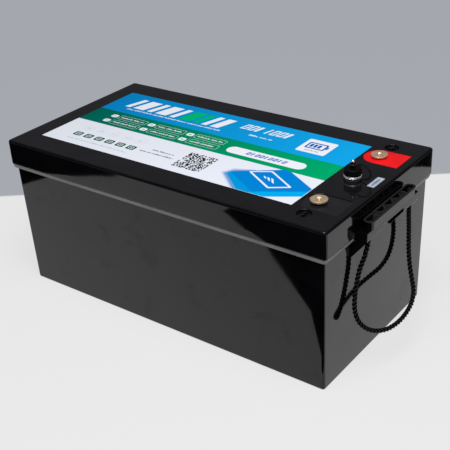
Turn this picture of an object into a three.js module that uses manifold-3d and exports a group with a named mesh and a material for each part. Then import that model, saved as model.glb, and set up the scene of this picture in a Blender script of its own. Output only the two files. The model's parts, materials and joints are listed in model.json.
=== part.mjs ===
// A drop-in battery pack: moulded case and lid, screw terminals, a capped signal socket,
// a rope handle at each end, and the cells, bus bars and electronics inside.
// Millimetres, +Z up. The origin is the centre of the footprint, on the floor.
// +X is the end with the terminals and the socket, -Y the front long side.
import * as THREE from "three";
import { mergeVertices } from "three/addons/utils/BufferGeometryUtils.js";
import Module from "manifold-3d";

const wasm = await Module();
wasm.setup();

// Driving dimensions
const GAP = 0.3; // clearance between pieces that rest on each other
const LID_LENGTH = 522;
const LID_WIDTH = 269;
const LID_TOP = 226;
const LID_CORNER = 5;
const LID_EDGE = 3.5; // rounding of the lid's top edge
const LID_PLATE = 5; // thickness of the lid's top
const SKIRT_BOTTOM = 190.5;
const RIM_BOTTOM = 183.8; // foot of the slope under the skirt
const SLOPE_INSET = 2.5;
const CASE_LENGTH = 511; // at the rim
const CASE_WIDTH = 258;
const CASE_DRAFT = 5; // how much shorter the case is at the floor than at the rim
const CASE_CORNER = 3.5;
const CASE_EDGE = 2; // rounding of the case's bottom edge
const CAVITY_LENGTH = 494;
const CAVITY_WIDTH = 241;
const CASE_FLOOR = 5;
const TONGUE_TOP = 205; // the case's inner wall, which stands up inside the lid
const TONGUE_BOTTOM = 150;
const TONGUE_WALL = 3;
const TONGUE_CORNER = 8;
const LABEL_RECESS = 0.4;
const PATCH_RECESS = 1.2; // D-shaped recess round each terminal

const LABEL = { x0: -230, x1: 191.5, y: 96.5 };
const TERMINAL_X = 214.5;
const TERMINAL_Y = 73;
const DISC_RADIUS = 10.8;
const DISC_TOP = LID_TOP + 4;
const DISC_THICKNESS = 2.2;
const STEM_RADIUS = 7; // the hole in the lid
const NECK_RADIUS = 6;
const STEM_BOTTOM = 206;
const THREAD_RADIUS = 3.4; // an M8 thread's minor radius
const THREAD_DEPTH = 20;
const PATCH_RADIUS = 20.5;
const PATCH_END = 249.5;
const RED_PATCH_TOP = LID_TOP;
const BLACK_PATCH_TOP = LID_TOP - 0.8;
const MARK_X = 215;
const MARK_Y = 106;
const MARK_RADIUS = 9.5;
const MARK_DEPTH = 3;
const SIGN_REACH = 5.5;
const SIGN_HALF = 1.1; // half the width of a sign's arm

const SOCKET_X = 217.5;
const BARREL_RADIUS = 7.9;
const COLLAR_RADIUS = 11.2;
const CAP_RADIUS = 10.9;
const CAP_BOTTOM = LID_TOP + 6.5;
const CAP_TOP = LID_TOP + 15;
const BARREL_TOP = LID_TOP + 10.5;
const POST_TOP = LID_TOP + 22;
const EYE_HEIGHT = LID_TOP + 19.5; // middle of the swivel eye on the post

const LEDGE_TOP = 195.6;
const LEDGE_OUT = 274.5; // the ledge's outer face, from the middle of the pack
const LEDGE_DEPTH = 6;
const BLOCK_DEPTH = 11;
const LEDGE_HALF = 64.5; // half the ledge's length at its outer face
const BLOCK_INNER = 26; // where the deeper end blocks start
const GUSSET_BOTTOM = 162;
const ROPE_X = 268.5;
const ROPE_Y = 52;
const ROPE_RADIUS = 3.2;
const ROPE_HOLE = 4.3;

const GRIP = { x: 269.5, half: 58, width: 15, wall: 1.8, bottom: LEDGE_TOP + GAP, height: 11.6 };

const CELL = { length: 160, width: 50, height: 112, bottom: 10 };
const CELL_PITCH_X = 161.5;
const CELL_PITCH_Y = 52;
const CELL_POST_X = 57;
const CELL_POST_HEIGHT = 3;
const CELL_TOP = CELL.bottom + CELL.height;
const LINK_BOTTOM = CELL_TOP + CELL_POST_HEIGHT + GAP;
const COVER_BOTTOM = 134;
const BOARD_BOTTOM = 141;

const LOOK = {
  shell: { color: 0x151517, roughness: 0.16, metalness: 0 },
  lidTop: { color: 0x1d1c20, roughness: 0.3, metalness: 0 },
  seal: { color: 0x101010, roughness: 0.8, metalness: 0 },
  print: { color: 0xe9edf5, roughness: 0.45, metalness: 0 },
  red: { color: 0xd8121f, roughness: 0.4, metalness: 0 },
  brass: { color: 0xd9c07a, roughness: 0.3, metalness: 1 },
  steel: { color: 0xc9cbd0, roughness: 0.25, metalness: 1 },
  black: { color: 0x17181a, roughness: 0.45, metalness: 0 },
  knurl: { color: 0x1a1b1e, roughness: 0.35, metalness: 0.6 },
  rope: { color: 0x161617, roughness: 0.85, metalness: 0 },
  cell: { color: 0x2c6fb3, roughness: 0.4, metalness: 0 },
  copper: { color: 0xc2855a, roughness: 0.35, metalness: 1 },
  pad: { color: 0x3a3b3d, roughness: 0.95, metalness: 0 },
  sheet: { color: 0x9fb08a, roughness: 0.6, metalness: 0 },
  board: { color: 0x1f6b3f, roughness: 0.5, metalness: 0 },
  alloy: { color: 0xb8bcc2, roughness: 0.4, metalness: 1 },
  redWire: { color: 0xc0151c, roughness: 0.5, metalness: 0 },
  blackWire: { color: 0x1b1b1c, roughness: 0.5, metalness: 0 },
};

const pack = new THREE.Group();

// Solids: three.js geometry in, manifold solids for cutting and joining

function solid(geometry) {
  const bare = geometry.clone();
  bare.deleteAttribute("normal");
  bare.deleteAttribute("uv");
  const merged = mergeVertices(bare, 1e-4);
  return new wasm.Manifold(
    new wasm.Mesh({
      numProp: 3,
      vertProperties: merged.attributes.position.array,
      triVerts: new Uint32Array(merged.index.array),
    }),
  );
}

function geometryOf(body) {
  const mesh = body.getMesh();
  const geometry = new THREE.BufferGeometry();
  geometry.setAttribute("position", new THREE.BufferAttribute(mesh.vertProperties, 3));
  geometry.setIndex(new THREE.BufferAttribute(mesh.triVerts, 1));
  const flat = geometry.toNonIndexed();
  flat.computeVertexNormals();
  return flat;
}

function add(name, shape, look, parent = pack) {
  const geometry = shape.isBufferGeometry ? shape : geometryOf(shape);
  const mesh = new THREE.Mesh(geometry, new THREE.MeshStandardMaterial(look));
  mesh.name = name;
  parent.add(mesh);
  return mesh;
}

const joined = (bodies) => bodies.reduce((whole, body) => whole.add(body));

// A rectangle with rounded corners, centred on the origin
function roundedRectangle(length, width, radius) {
  const [a, b] = [length / 2, width / 2];
  const shape = new THREE.Shape();
  shape.moveTo(a, -b + radius);
  shape.absarc(a - radius, b - radius, radius, 0, Math.PI / 2, false);
  shape.absarc(-a + radius, b - radius, radius, Math.PI / 2, Math.PI, false);
  shape.absarc(-a + radius, -b + radius, radius, Math.PI, 1.5 * Math.PI, false);
  shape.absarc(a - radius, -b + radius, radius, 1.5 * Math.PI, 2 * Math.PI, false);
  shape.closePath();
  return shape;
}

// The solid between two heights over an outline in plan
function prism(shape, bottom, top, curveSegments = 5) {
  const geometry = new THREE.ExtrudeGeometry(shape, {
    depth: top - bottom,
    bevelEnabled: false,
    curveSegments,
  });
  return geometry.translate(0, 0, bottom);
}

// A prism with both its end edges rounded, inside the same outline and heights
function roundedPrism(length, width, corner, bottom, top, edge) {
  const shape = roundedRectangle(length - 2 * edge, width - 2 * edge, Math.max(corner - edge, 1));
  const geometry = new THREE.ExtrudeGeometry(shape, {
    depth: top - bottom - 2 * edge,
    bevelThickness: edge,
    bevelSize: edge,
    bevelSegments: 3,
    curveSegments: 5,
  });
  return geometry.translate(0, 0, bottom + edge);
}

// Moves each point in or out in plan, from no change at `to` to `inset` at `from`
function drafted(geometry, length, width, from, to, inset) {
  const position = geometry.attributes.position;
  for (let i = 0; i < position.count; i += 1) {
    const share = THREE.MathUtils.clamp((to - position.getZ(i)) / (to - from), 0, 1);
    position.setX(i, position.getX(i) * (1 - (share * 2 * inset) / length));
    position.setY(i, position.getY(i) * (1 - (share * 2 * inset) / width));
  }
  return geometry;
}

function box(x0, x1, y0, y1, z0, z1) {
  const geometry = new THREE.BoxGeometry(x1 - x0, y1 - y0, z1 - z0);
  return geometry.translate((x0 + x1) / 2, (y0 + y1) / 2, (z0 + z1) / 2);
}

function rod(x, y, radius, bottom, top, sides = 20) {
  const geometry = new THREE.CylinderGeometry(radius, radius, top - bottom, sides);
  return geometry.rotateX(Math.PI / 2).translate(x, y, (bottom + top) / 2);
}

// A turned piece: [radius, height] pairs from the lowest point outwards and up, closed
function turned(profile, x, y, sides = 24) {
  const points = profile.map(([r, z]) => new THREE.Vector2(r, z));
  return new THREE.LatheGeometry(points, sides).rotateX(Math.PI / 2).translate(x, y, 0);
}

// A round ring between two radii and two heights
function ring(inner, outer, bottom, top, x, y, sides = 24) {
  const profile = [[inner, bottom], [outer, bottom], [outer, top], [inner, top], [inner, bottom]];
  return turned(profile, x, y, sides);
}

// A round cord through points given as [x, y, z]
function cord(points, radius, sides, steps) {
  const curve = new THREE.CatmullRomCurve3(
    points.map(([x, y, z]) => new THREE.Vector3(x, y, z)),
    false,
    "centripetal",
  );
  const section = new THREE.Shape();
  for (let i = 0; i < sides; i += 1) {
    const angle = (2 * Math.PI * i) / sides;
    const [x, y] = [radius * Math.cos(angle), radius * Math.sin(angle)];
    if (i === 0) section.moveTo(x, y);
    else section.lineTo(x, y);
  }
  section.closePath();
  return new THREE.ExtrudeGeometry(section, { extrudePath: curve, steps, bevelEnabled: false });
}

// Case and lid

function container() {
  const top = RIM_BOTTOM + CASE_EDGE;
  const outline = roundedPrism(CASE_LENGTH, CASE_WIDTH, CASE_CORNER, 0, top, CASE_EDGE);
  const body = solid(drafted(outline, CASE_LENGTH, CASE_WIDTH, 0, RIM_BOTTOM, CASE_DRAFT / 2));
  const wall = body.subtract(solid(box(-300, 300, -200, 200, RIM_BOTTOM - GAP, 300)));
  const tongueOutline = roundedRectangle(
    CAVITY_LENGTH + 2 * TONGUE_WALL,
    CAVITY_WIDTH + 2 * TONGUE_WALL,
    TONGUE_CORNER,
  );
  const tongue = solid(prism(tongueOutline, TONGUE_BOTTOM, TONGUE_TOP, 3));
  const cavity = solid(
    prism(roundedRectangle(CAVITY_LENGTH, CAVITY_WIDTH, 6), CASE_FLOOR, 260, 3),
  );
  return wall.add(tongue).subtract(cavity);
}

// The ledge that carries a grip, at the +X end
function ledge() {
  const along = (points, y0, y1) => {
    const shape = new THREE.Shape(points.map(([x, z]) => new THREE.Vector2(x, z)));
    const geometry = new THREE.ExtrudeGeometry(shape, { depth: y1 - y0, bevelEnabled: false });
    return geometry.rotateX(Math.PI / 2).translate(0, y1, 0);
  };
  const inner = CASE_LENGTH / 2 + 0.5;
  const reach = 8; // how far the ends of the ledge run on along the wall
  const shelf = [
    [inner, LEDGE_TOP - LEDGE_DEPTH],
    [LEDGE_OUT, LEDGE_TOP - LEDGE_DEPTH],
    [LEDGE_OUT, LEDGE_TOP],
    [inner, LEDGE_TOP],
  ];
  const gusset = [
    [inner, GUSSET_BOTTOM],
    [LEDGE_OUT, LEDGE_TOP - BLOCK_DEPTH],
    [LEDGE_OUT, LEDGE_TOP],
    [inner, LEDGE_TOP],
  ];
  const end = LEDGE_HALF + reach;
  const blocks = [
    solid(along(shelf, -end, end)),
    solid(along(gusset, BLOCK_INNER, end)),
    solid(along(gusset, -end, -BLOCK_INNER)),
  ];
  const plan = new THREE.Shape([
    new THREE.Vector2(inner - 1, -end),
    new THREE.Vector2(LEDGE_OUT, -LEDGE_HALF),
    new THREE.Vector2(LEDGE_OUT, LEDGE_HALF),
    new THREE.Vector2(inner - 1, end),
  ]);
  let body = joined(blocks).intersect(solid(prism(plan, 100, 230)));
  for (const side of [-1, 1]) {
    body = body.subtract(solid(rod(ROPE_X, side * ROPE_Y, ROPE_HOLE, 100, 230, 16)));
  }
  return body;
}

function patchOutline(x0, x1, y, radius) {
  const shape = new THREE.Shape();
  shape.moveTo(x1, y - radius);
  shape.lineTo(x1, y + radius);
  shape.absarc(x0, y, radius, Math.PI / 2, 1.5 * Math.PI, false);
  shape.closePath();
  return shape;
}

// A round sunken mark that leaves its sign standing
function mark(y, isPlus) {
  const disc = solid(rod(MARK_X, y, MARK_RADIUS, LID_TOP - MARK_DEPTH, LID_TOP + 1, 28));
  const [bottom, top] = [LID_TOP - MARK_DEPTH - 1, LID_TOP + 2];
  const arm = (halfX, halfY) =>
    solid(box(MARK_X - halfX, MARK_X + halfX, y - halfY, y + halfY, bottom, top));
  const arms = [arm(SIGN_HALF, SIGN_REACH)];
  if (isPlus) arms.push(arm(SIGN_REACH, SIGN_HALF));
  return disc.subtract(joined(arms));
}

function lid() {
  const coverBottom = SKIRT_BOTTOM - 20; // cut off level at the skirt's bottom
  const cover = roundedPrism(LID_LENGTH, LID_WIDTH, LID_CORNER, coverBottom, LID_TOP, LID_EDGE);
  const skirt = solid(cover).subtract(solid(box(-300, 300, -200, 200, 100, SKIRT_BOTTOM)));
  const slope = prism(
    roundedRectangle(LID_LENGTH, LID_WIDTH, LID_CORNER),
    RIM_BOTTOM,
    SKIRT_BOTTOM,
  );
  drafted(slope, LID_LENGTH, LID_WIDTH, RIM_BOTTOM, SKIRT_BOTTOM, SLOPE_INSET);
  const bay = prism(
    roundedRectangle(
      CAVITY_LENGTH + 2 * (TONGUE_WALL + GAP),
      CAVITY_WIDTH + 2 * (TONGUE_WALL + GAP),
      TONGUE_CORNER,
    ),
    100,
    LID_TOP - LID_PLATE,
    3,
  );
  const right = ledge();
  const ledges = right.add(right.rotate([0, 0, 180]));
  let body = skirt.add(solid(slope)).add(ledges).subtract(solid(bay));
  const labelFloor = LID_TOP - LABEL_RECESS;
  const labelRecess = box(LABEL.x0, LABEL.x1, -LABEL.y, LABEL.y, labelFloor, LID_TOP + 1);
  const cuts = [solid(labelRecess), mark(MARK_Y, true), mark(-MARK_Y, false)];
  for (const side of [-1, 1]) {
    const y = side * TERMINAL_Y;
    const outline = patchOutline(TERMINAL_X, PATCH_END, y, PATCH_RADIUS);
    cuts.push(solid(prism(outline, LID_TOP - PATCH_RECESS, LID_TOP + 1, 12)));
    cuts.push(solid(rod(TERMINAL_X, y, STEM_RADIUS + GAP, 210, 230)));
  }
  cuts.push(solid(rod(SOCKET_X, 0, BARREL_RADIUS + GAP, 210, 230)));
  for (const cut of cuts) body = body.subtract(cut);
  return body;
}

function lidSeal() {
  const [length, width] = [CAVITY_LENGTH + 2, CAVITY_WIDTH + 2];
  const band = 5; // width of the seal's section
  const top = LID_TOP - LID_PLATE - GAP;
  const outer = solid(prism(roundedRectangle(length, width, 7), TONGUE_TOP + GAP, top, 3));
  const hollow = roundedRectangle(length - 2 * band, width - 2 * band, 4);
  return outer.subtract(solid(prism(hollow, TONGUE_TOP - 1, top + 1, 3)));
}

add("container", container(), LOOK.shell);
add("lid", lid(), LOOK.lidTop);
add("lid_seal", lidSeal(), LOOK.seal);

// Print on the lid

const labelBottom = LID_TOP - LABEL_RECESS + GAP;
const labelTop = LID_TOP + 0.1;
add(
  "label",
  box(LABEL.x0 + GAP, LABEL.x1 - GAP, -LABEL.y + GAP, LABEL.y - GAP, labelBottom, labelTop),
  LOOK.print,
);
const stickerBottom = LID_TOP + GAP;
add("sticker", box(242, 252, -10, 19, stickerBottom, stickerBottom + 0.2), LOOK.print);

// Terminals

function patch(side, top) {
  const y = side * TERMINAL_Y;
  const outline = patchOutline(TERMINAL_X, PATCH_END - GAP, y, PATCH_RADIUS - GAP);
  const hole = solid(rod(TERMINAL_X, y, STEM_RADIUS + GAP, 200, 240));
  return solid(prism(outline, LID_TOP - PATCH_RECESS + GAP, top, 12)).subtract(hole);
}

function terminal(side) {
  const y = side * TERMINAL_Y;
  const underside = DISC_TOP - DISC_THICKNESS;
  const profile = [
    [0, STEM_BOTTOM],
    [NECK_RADIUS, STEM_BOTTOM],
    [NECK_RADIUS, underside],
    [DISC_RADIUS, underside],
    [DISC_RADIUS, DISC_TOP - 0.5],
    [DISC_RADIUS - 0.5, DISC_TOP],
    [THREAD_RADIUS, DISC_TOP],
    [THREAD_RADIUS, DISC_TOP - THREAD_DEPTH],
    [0, DISC_TOP - THREAD_DEPTH],
  ];
  return turned(profile, TERMINAL_X, y, 28);
}

function terminalNut(side) {
  const y = side * TERMINAL_Y;
  const hexagon = solid(rod(TERMINAL_X, y, 11, 213, LID_TOP - LID_PLATE - GAP, 6));
  return hexagon.subtract(solid(rod(TERMINAL_X, y, NECK_RADIUS + GAP, 200, 240)));
}

for (const [name, side, top, look] of [
  ["pos", 1, RED_PATCH_TOP, LOOK.red],
  ["neg", -1, BLACK_PATCH_TOP, LOOK.black],
]) {
  add(`${name}_patch`, patch(side, top), look);
  add(`${name}_terminal`, terminal(side), LOOK.brass);
  add(`${name}_nut`, terminalNut(side), LOOK.steel);
}

// Signal socket and its dust cap

function socketInsert() {
  let body = solid(rod(SOCKET_X, 0, 6.2, 208, BARREL_TOP - 1.2, 24));
  const contacts = 5;
  for (let i = 0; i < contacts; i += 1) {
    const angle = (2 * Math.PI * i) / contacts;
    const [x, y] = [SOCKET_X + 3.9 * Math.cos(angle), 3.9 * Math.sin(angle)];
    body = body.subtract(solid(rod(x, y, 0.8, BARREL_TOP - 7, BARREL_TOP, 8)));
  }
  return body;
}

function capShell() {
  const roof = BARREL_TOP + 0.4;
  const bore = BARREL_RADIUS + 0.3;
  return turned(
    [
      [bore, CAP_BOTTOM],
      [CAP_RADIUS - 0.5, CAP_BOTTOM],
      [CAP_RADIUS, CAP_BOTTOM + 0.5],
      [CAP_RADIUS, CAP_TOP - 0.8],
      [CAP_RADIUS - 0.8, CAP_TOP],
      [0, CAP_TOP],
      [0, roof],
      [bore, roof],
      [bore, CAP_BOTTOM],
    ],
    SOCKET_X,
    0,
    28,
  );
}

// The lug at the socket's foot that holds the lanyard's lower end
function lanyardTab() {
  const [bottom, top] = [LID_TOP + 1.9, LID_TOP + 2.8];
  const washer = solid(rod(SOCKET_X, 0, COLLAR_RADIUS, bottom, top, 24));
  const ear = solid(box(SOCKET_X + 8, SOCKET_X + 13.2, -2, 2, bottom, top));
  return washer.add(ear).subtract(solid(rod(SOCKET_X, 0, BARREL_RADIUS + GAP, 200, 240)));
}

add("socket_body", ring(6.5, BARREL_RADIUS, 206, BARREL_TOP, SOCKET_X, 0), LOOK.steel);
add("socket_insert", socketInsert(), LOOK.black);
add(
  "socket_gasket",
  ring(BARREL_RADIUS + GAP, COLLAR_RADIUS + 0.3, LID_TOP + GAP, LID_TOP + 1.6, SOCKET_X, 0),
  LOOK.seal,
);
add("lanyard_tab", lanyardTab(), LOOK.black);
add(
  "socket_ring",
  ring(BARREL_RADIUS + GAP, COLLAR_RADIUS, LID_TOP + 3.1, CAP_BOTTOM - GAP, SOCKET_X, 0, 28),
  LOOK.steel,
);
add("cap_shell", capShell(), LOOK.knurl);
add(
  "cap_post",
  turned(
    [
      [0, CAP_TOP + GAP],
      [3.4, CAP_TOP + GAP],
      [3.4, EYE_HEIGHT - 0.9],
      [2.2, EYE_HEIGHT - 0.9],
      [2.2, EYE_HEIGHT + 0.9],
      [3.4, EYE_HEIGHT + 0.9],
      [3.4, POST_TOP],
      [0, POST_TOP],
    ],
    SOCKET_X,
    0,
    16,
  ),
  LOOK.black,
);
add(
  "cap_screw",
  turned(
    [
      [0, POST_TOP + GAP],
      [2.5, POST_TOP + GAP],
      [2.5, POST_TOP + 2.2],
      [1.6, POST_TOP + 3.2],
      [0, POST_TOP + 3.5],
    ],
    SOCKET_X,
    0,
    14,
  ),
  LOOK.steel,
);
add("lanyard_eye", ring(2.5, 4.6, EYE_HEIGHT - 0.6, EYE_HEIGHT + 0.6, SOCKET_X, 0, 16), LOOK.black);

const LANYARD_RADIUS = 0.85;
const lanyardRoute = [
  [223.2, 0, 245.5],
  [228, 0, 247.4],
  [233.8, 0, 246.9],
  [239.3, 0, 243.8],
  [241.9, 0, 239.2],
  [241.6, 0, 234.6],
  [239, 0, 231],
  [235, 0, 229],
  [231.1, 0, 228.4],
];
add("cap_lanyard", cord(lanyardRoute, LANYARD_RADIUS, 8, 16), LOOK.rope);

// Rope handles: the loop slides through the ledge as its grip is lifted

const ropeRoute = [
  [ROPE_X, -ROPE_Y, 197.6],
  [ROPE_X, -ROPE_Y, 186],
  [ROPE_X, -52.1, 175],
  [266, -54.6, 159],
  [262.8, -60, 143],
  [261.8, -65.5, 125],
  [262, -70, 107],
  [264, -72.5, 90],
  [268.5, -70.5, 75],
  [275.5, -63, 63],
  [283, -50.5, 55],
  [289.5, -34, 51],
  [293.5, -13, 51],
  [294, 8, 54],
  [291.5, 27, 59],
  [285.5, 42, 66],
  [277.5, 52, 76],
  [271, 58, 90],
  [267.3, 61, 107],
  [265.8, 62, 125],
  [265.8, 60.5, 143],
  [267, 56.5, 160],
  [ROPE_X, 52.2, 175],
  [ROPE_X, ROPE_Y, 186],
  [ROPE_X, ROPE_Y, 197.6],
];

function stadium(half, width) {
  return roundedRectangle(width, 2 * half, width / 2 - 0.01);
}

function grip() {
  const { x, half, width, wall, bottom, height } = GRIP;
  const top = bottom + height;
  const lip = 1.3; // how far the rim stands out from the walls
  const level = (outline, z0, z1) => solid(prism(outline, z0, z1, 6).translate(x, 0, 0));
  const outer = level(stadium(half - lip, width - 2 * lip), bottom, top);
  const rim = level(stadium(half, width), top - 1.8, top);
  const hollow = level(stadium(half - lip - wall, width - 2 * (lip + wall)), bottom + 2, top + 1);
  const ribs = [];
  const inside = width / 2 - lip - wall + 0.2;
  const ribTop = top - 1;
  const rib = (y0, y1) => {
    const corners = [
      [-inside, y0 - 0.6],
      [inside, y1 - 0.6],
      [inside, y1 + 0.6],
      [-inside, y0 + 0.6],
    ];
    const shape = new THREE.Shape(corners.map(([a, b]) => new THREE.Vector2(a, b)));
    return level(shape, bottom + 1, ribTop);
  };
  const bay = 10;
  for (const y of [-35, 35]) ribs.push(rib(y, y));
  for (let i = -3; i < 3; i += 1) {
    const [from, to] = i % 2 ? [i * bay, (i + 1) * bay] : [(i + 1) * bay, i * bay];
    ribs.push(rib(from, to));
  }
  let body = outer.add(rim).subtract(hollow).add(joined(ribs));
  for (const side of [-1, 1]) {
    body = body.subtract(solid(rod(ROPE_X, side * ROPE_Y, ROPE_RADIUS + GAP, 190, 199.5, 12)));
  }
  return body;
}

function knot(side) {
  const profile = [
    [0, 198.2],
    [2.4, 198.2],
    [3.6, 200],
    [3.8, 202],
    [3.2, 204],
    [1.8, 205.6],
    [0, 206],
  ];
  return turned(profile, GRIP.x, side * (ROPE_Y - 1.8), 14);
}

for (const [end, angle] of [
  ["right", 0],
  ["left", Math.PI],
]) {
  const handle = new THREE.Group();
  handle.rotation.z = angle;
  add(`grip_${end}`, grip(), LOOK.black, handle);
  add(`rope_${end}`, cord(ropeRoute, ROPE_RADIUS, 8, 40), LOOK.rope, handle);
  add(`knot_${end}_1`, knot(-1), LOOK.rope, handle);
  add(`knot_${end}_2`, knot(1), LOOK.rope, handle);
  pack.add(handle);
}

// Cells in four rows of three, joined in a snake that starts and ends at the +X end

function cell() {
  const can = solid(
    prism(roundedRectangle(CELL.length, CELL.width, 3), CELL.bottom, CELL_TOP, 2),
  );
  const posts = [-1, 1].map((side) =>
    solid(rod(side * CELL_POST_X, 0, 8, CELL_TOP - 1, CELL_TOP + CELL_POST_HEIGHT, 12)),
  );
  return joined([can, ...posts]);
}

const ROWS = 4;
const COLUMNS = 3;
const rowY = (row) => (row - (ROWS - 1) / 2) * CELL_PITCH_Y;
const columnX = (column) => (column - (COLUMNS - 1) / 2) * CELL_PITCH_X;
const twoDigits = (number) => String(number).padStart(2, "0");

let cellNumber = 0;
let linkNumber = 0;
for (let row = 0; row < ROWS; row += 1) {
  const heading = row % 2 ? 1 : -1; // the row's direction along X in the snake
  for (let step = 0; step < COLUMNS; step += 1) {
    const column = heading > 0 ? step : COLUMNS - 1 - step;
    cellNumber += 1;
    const can = add(`cell_${twoDigits(cellNumber)}`, cell(), LOOK.cell);
    can.position.set(columnX(column), rowY(row), 0);
    const isLastInRow = step === COLUMNS - 1;
    if (isLastInRow && row === ROWS - 1) continue;
    linkNumber += 1;
    const x = columnX(column) + heading * CELL_POST_X;
    const span = isLastInRow ? [18, CELL_PITCH_Y + 18] : [CELL_PITCH_X - 2 * CELL_POST_X + 18, 18];
    const centre = isLastInRow
      ? [x, rowY(row) + CELL_PITCH_Y / 2]
      : [x + (heading * (CELL_PITCH_X - 2 * CELL_POST_X)) / 2, rowY(row)];
    const bar = prism(roundedRectangle(span[0], span[1], 5), LINK_BOTTOM, LINK_BOTTOM + 2, 3);
    const link = add(`link_${twoDigits(linkNumber)}`, bar, LOOK.copper);
    link.position.set(centre[0], centre[1], 0);
  }
}

// Inside fittings

const padOutline = roundedRectangle(CAVITY_LENGTH - 4, CAVITY_WIDTH - 4, 5);
add("base_pad", prism(padOutline, CASE_FLOOR + GAP, CELL.bottom - GAP, 3), LOOK.pad);

function cellCover() {
  let sheet = solid(
    prism(roundedRectangle(CAVITY_LENGTH - 6, CAVITY_WIDTH - 6, 5), COVER_BOTTOM, COVER_BOTTOM + 2, 3),
  );
  for (const side of [-1, 1]) {
    sheet = sheet.subtract(solid(rod(columnX(2) + CELL_POST_X, side * rowY(3), 9, 120, 150, 16)));
  }
  return sheet;
}

function bmsBoard() {
  const board = solid(box(-60, 140, -55, 55, BOARD_BOTTOM, BOARD_BOTTOM + 2));
  const parts = [board];
  for (let i = 0; i < 4; i += 1) {
    const x = -50 + i * 48;
    parts.push(solid(box(x, x + 14, -48, -34, BOARD_BOTTOM + 1, BOARD_BOTTOM + 8)));
    parts.push(solid(rod(x + 7, 42, 6, BOARD_BOTTOM + 1, BOARD_BOTTOM + 10, 12)));
  }
  return joined(parts);
}

function heatsink() {
  const [bottom, plate, top] = [BOARD_BOTTOM + 2 + GAP, BOARD_BOTTOM + 7, BOARD_BOTTOM + 20];
  const pieces = [solid(box(-56, 136, -28, 28, bottom, plate))];
  const fins = 7;
  for (let i = 0; i < fins; i += 1) {
    const y = -26 + (i * 52) / (fins - 1);
    pieces.push(solid(box(-56, 136, y - 1, y + 1, plate - 1, top)));
  }
  return joined(pieces);
}

add("cell_cover", cellCover(), LOOK.sheet);
add("bms_board", bmsBoard(), LOOK.board);
add("bms_heatsink", heatsink(), LOOK.alloy);

// Leads held inside the case
const postTop = CELL_TOP + CELL_POST_HEIGHT + GAP;
const boardTop = BOARD_BOTTOM + 2 + GAP;
const leads = {
  pos_lead: {
    route: [
      [218.5, 78, postTop],
      [218.5, 78, 150],
      [216, 75, 180],
      [TERMINAL_X, TERMINAL_Y, 205.4],
    ],
    radius: 4.5,
    look: LOOK.redWire,
  },
  cell_neg_lead: {
    route: [
      [218.5, -78, postTop],
      [218.5, -78, 146],
      [205, -70, 160],
      [175, -45, 160],
      [155, -20, 152],
      [141, -12, 148.5],
    ],
    radius: 4.5,
    look: LOOK.blackWire,
  },
  out_neg_lead: {
    route: [
      [128, -42, boardTop],
      [128, -42, 156],
      [150, -60, 176],
      [195, -74, 180],
      [TERMINAL_X, -TERMINAL_Y, 190],
      [TERMINAL_X, -TERMINAL_Y, 205.4],
    ],
    radius: 4.5,
    look: LOOK.blackWire,
  },
  signal_lead: {
    route: [
      [110, 46, boardTop],
      [112, 46, 158],
      [150, 34, 178],
      [200, 8, 184],
      [SOCKET_X, 0, 194],
      [SOCKET_X, 0, 207.4],
    ],
    radius: 2.5,
    look: LOOK.blackWire,
  },
};
for (const [name, { route, radius, look }] of Object.entries(leads)) {
  add(name, cord(route, radius, 8, 10), look);
}

export default pack;
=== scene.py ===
"""Looks of a drop-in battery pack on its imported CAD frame.

Lengths in this file are millimetres and are turned into metres when a mesh is made.
The frame is the CAD's: +Z up, +X the end with the terminals, -Y the front long side.
"""

import json
import math
import random

import bmesh
import bpy
import numpy as np
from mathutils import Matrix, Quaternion, Vector


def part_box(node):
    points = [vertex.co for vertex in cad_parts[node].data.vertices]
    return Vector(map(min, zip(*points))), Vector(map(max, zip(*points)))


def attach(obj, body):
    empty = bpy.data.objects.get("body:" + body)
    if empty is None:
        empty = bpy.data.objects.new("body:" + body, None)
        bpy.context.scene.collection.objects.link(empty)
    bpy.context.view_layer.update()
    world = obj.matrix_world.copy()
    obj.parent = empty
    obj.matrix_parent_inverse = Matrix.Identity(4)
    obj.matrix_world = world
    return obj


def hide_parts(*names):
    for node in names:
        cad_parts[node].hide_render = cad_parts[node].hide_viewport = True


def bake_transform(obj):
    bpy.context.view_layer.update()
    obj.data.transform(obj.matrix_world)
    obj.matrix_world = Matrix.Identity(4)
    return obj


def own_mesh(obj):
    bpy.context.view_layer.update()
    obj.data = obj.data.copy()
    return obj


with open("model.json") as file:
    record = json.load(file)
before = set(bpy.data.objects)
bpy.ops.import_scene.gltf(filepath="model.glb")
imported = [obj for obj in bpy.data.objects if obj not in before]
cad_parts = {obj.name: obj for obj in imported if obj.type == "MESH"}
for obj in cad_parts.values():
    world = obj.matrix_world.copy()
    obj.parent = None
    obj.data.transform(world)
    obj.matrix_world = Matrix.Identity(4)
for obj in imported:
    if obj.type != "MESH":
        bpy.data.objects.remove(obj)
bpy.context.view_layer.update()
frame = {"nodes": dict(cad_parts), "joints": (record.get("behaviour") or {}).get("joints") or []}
MM = 0.001


def lows(node):
    """Lowest corner of a CAD node, in millimetres."""
    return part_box(node)[0] / MM


def highs(node):
    """Highest corner of a CAD node, in millimetres."""
    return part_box(node)[1] / MM


def middle(node):
    return (lows(node) + highs(node)) / 2


def plan(node):
    """Centre and half sizes of a CAD node, seen from above."""
    low, high = lows(node), highs(node)
    centre = ((low.x + high.x) / 2, (low.y + high.y) / 2)
    return centre, ((high.x - low.x) / 2, (high.y - low.y) / 2)


# ---------------------------------------------------------------- dimensions

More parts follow.
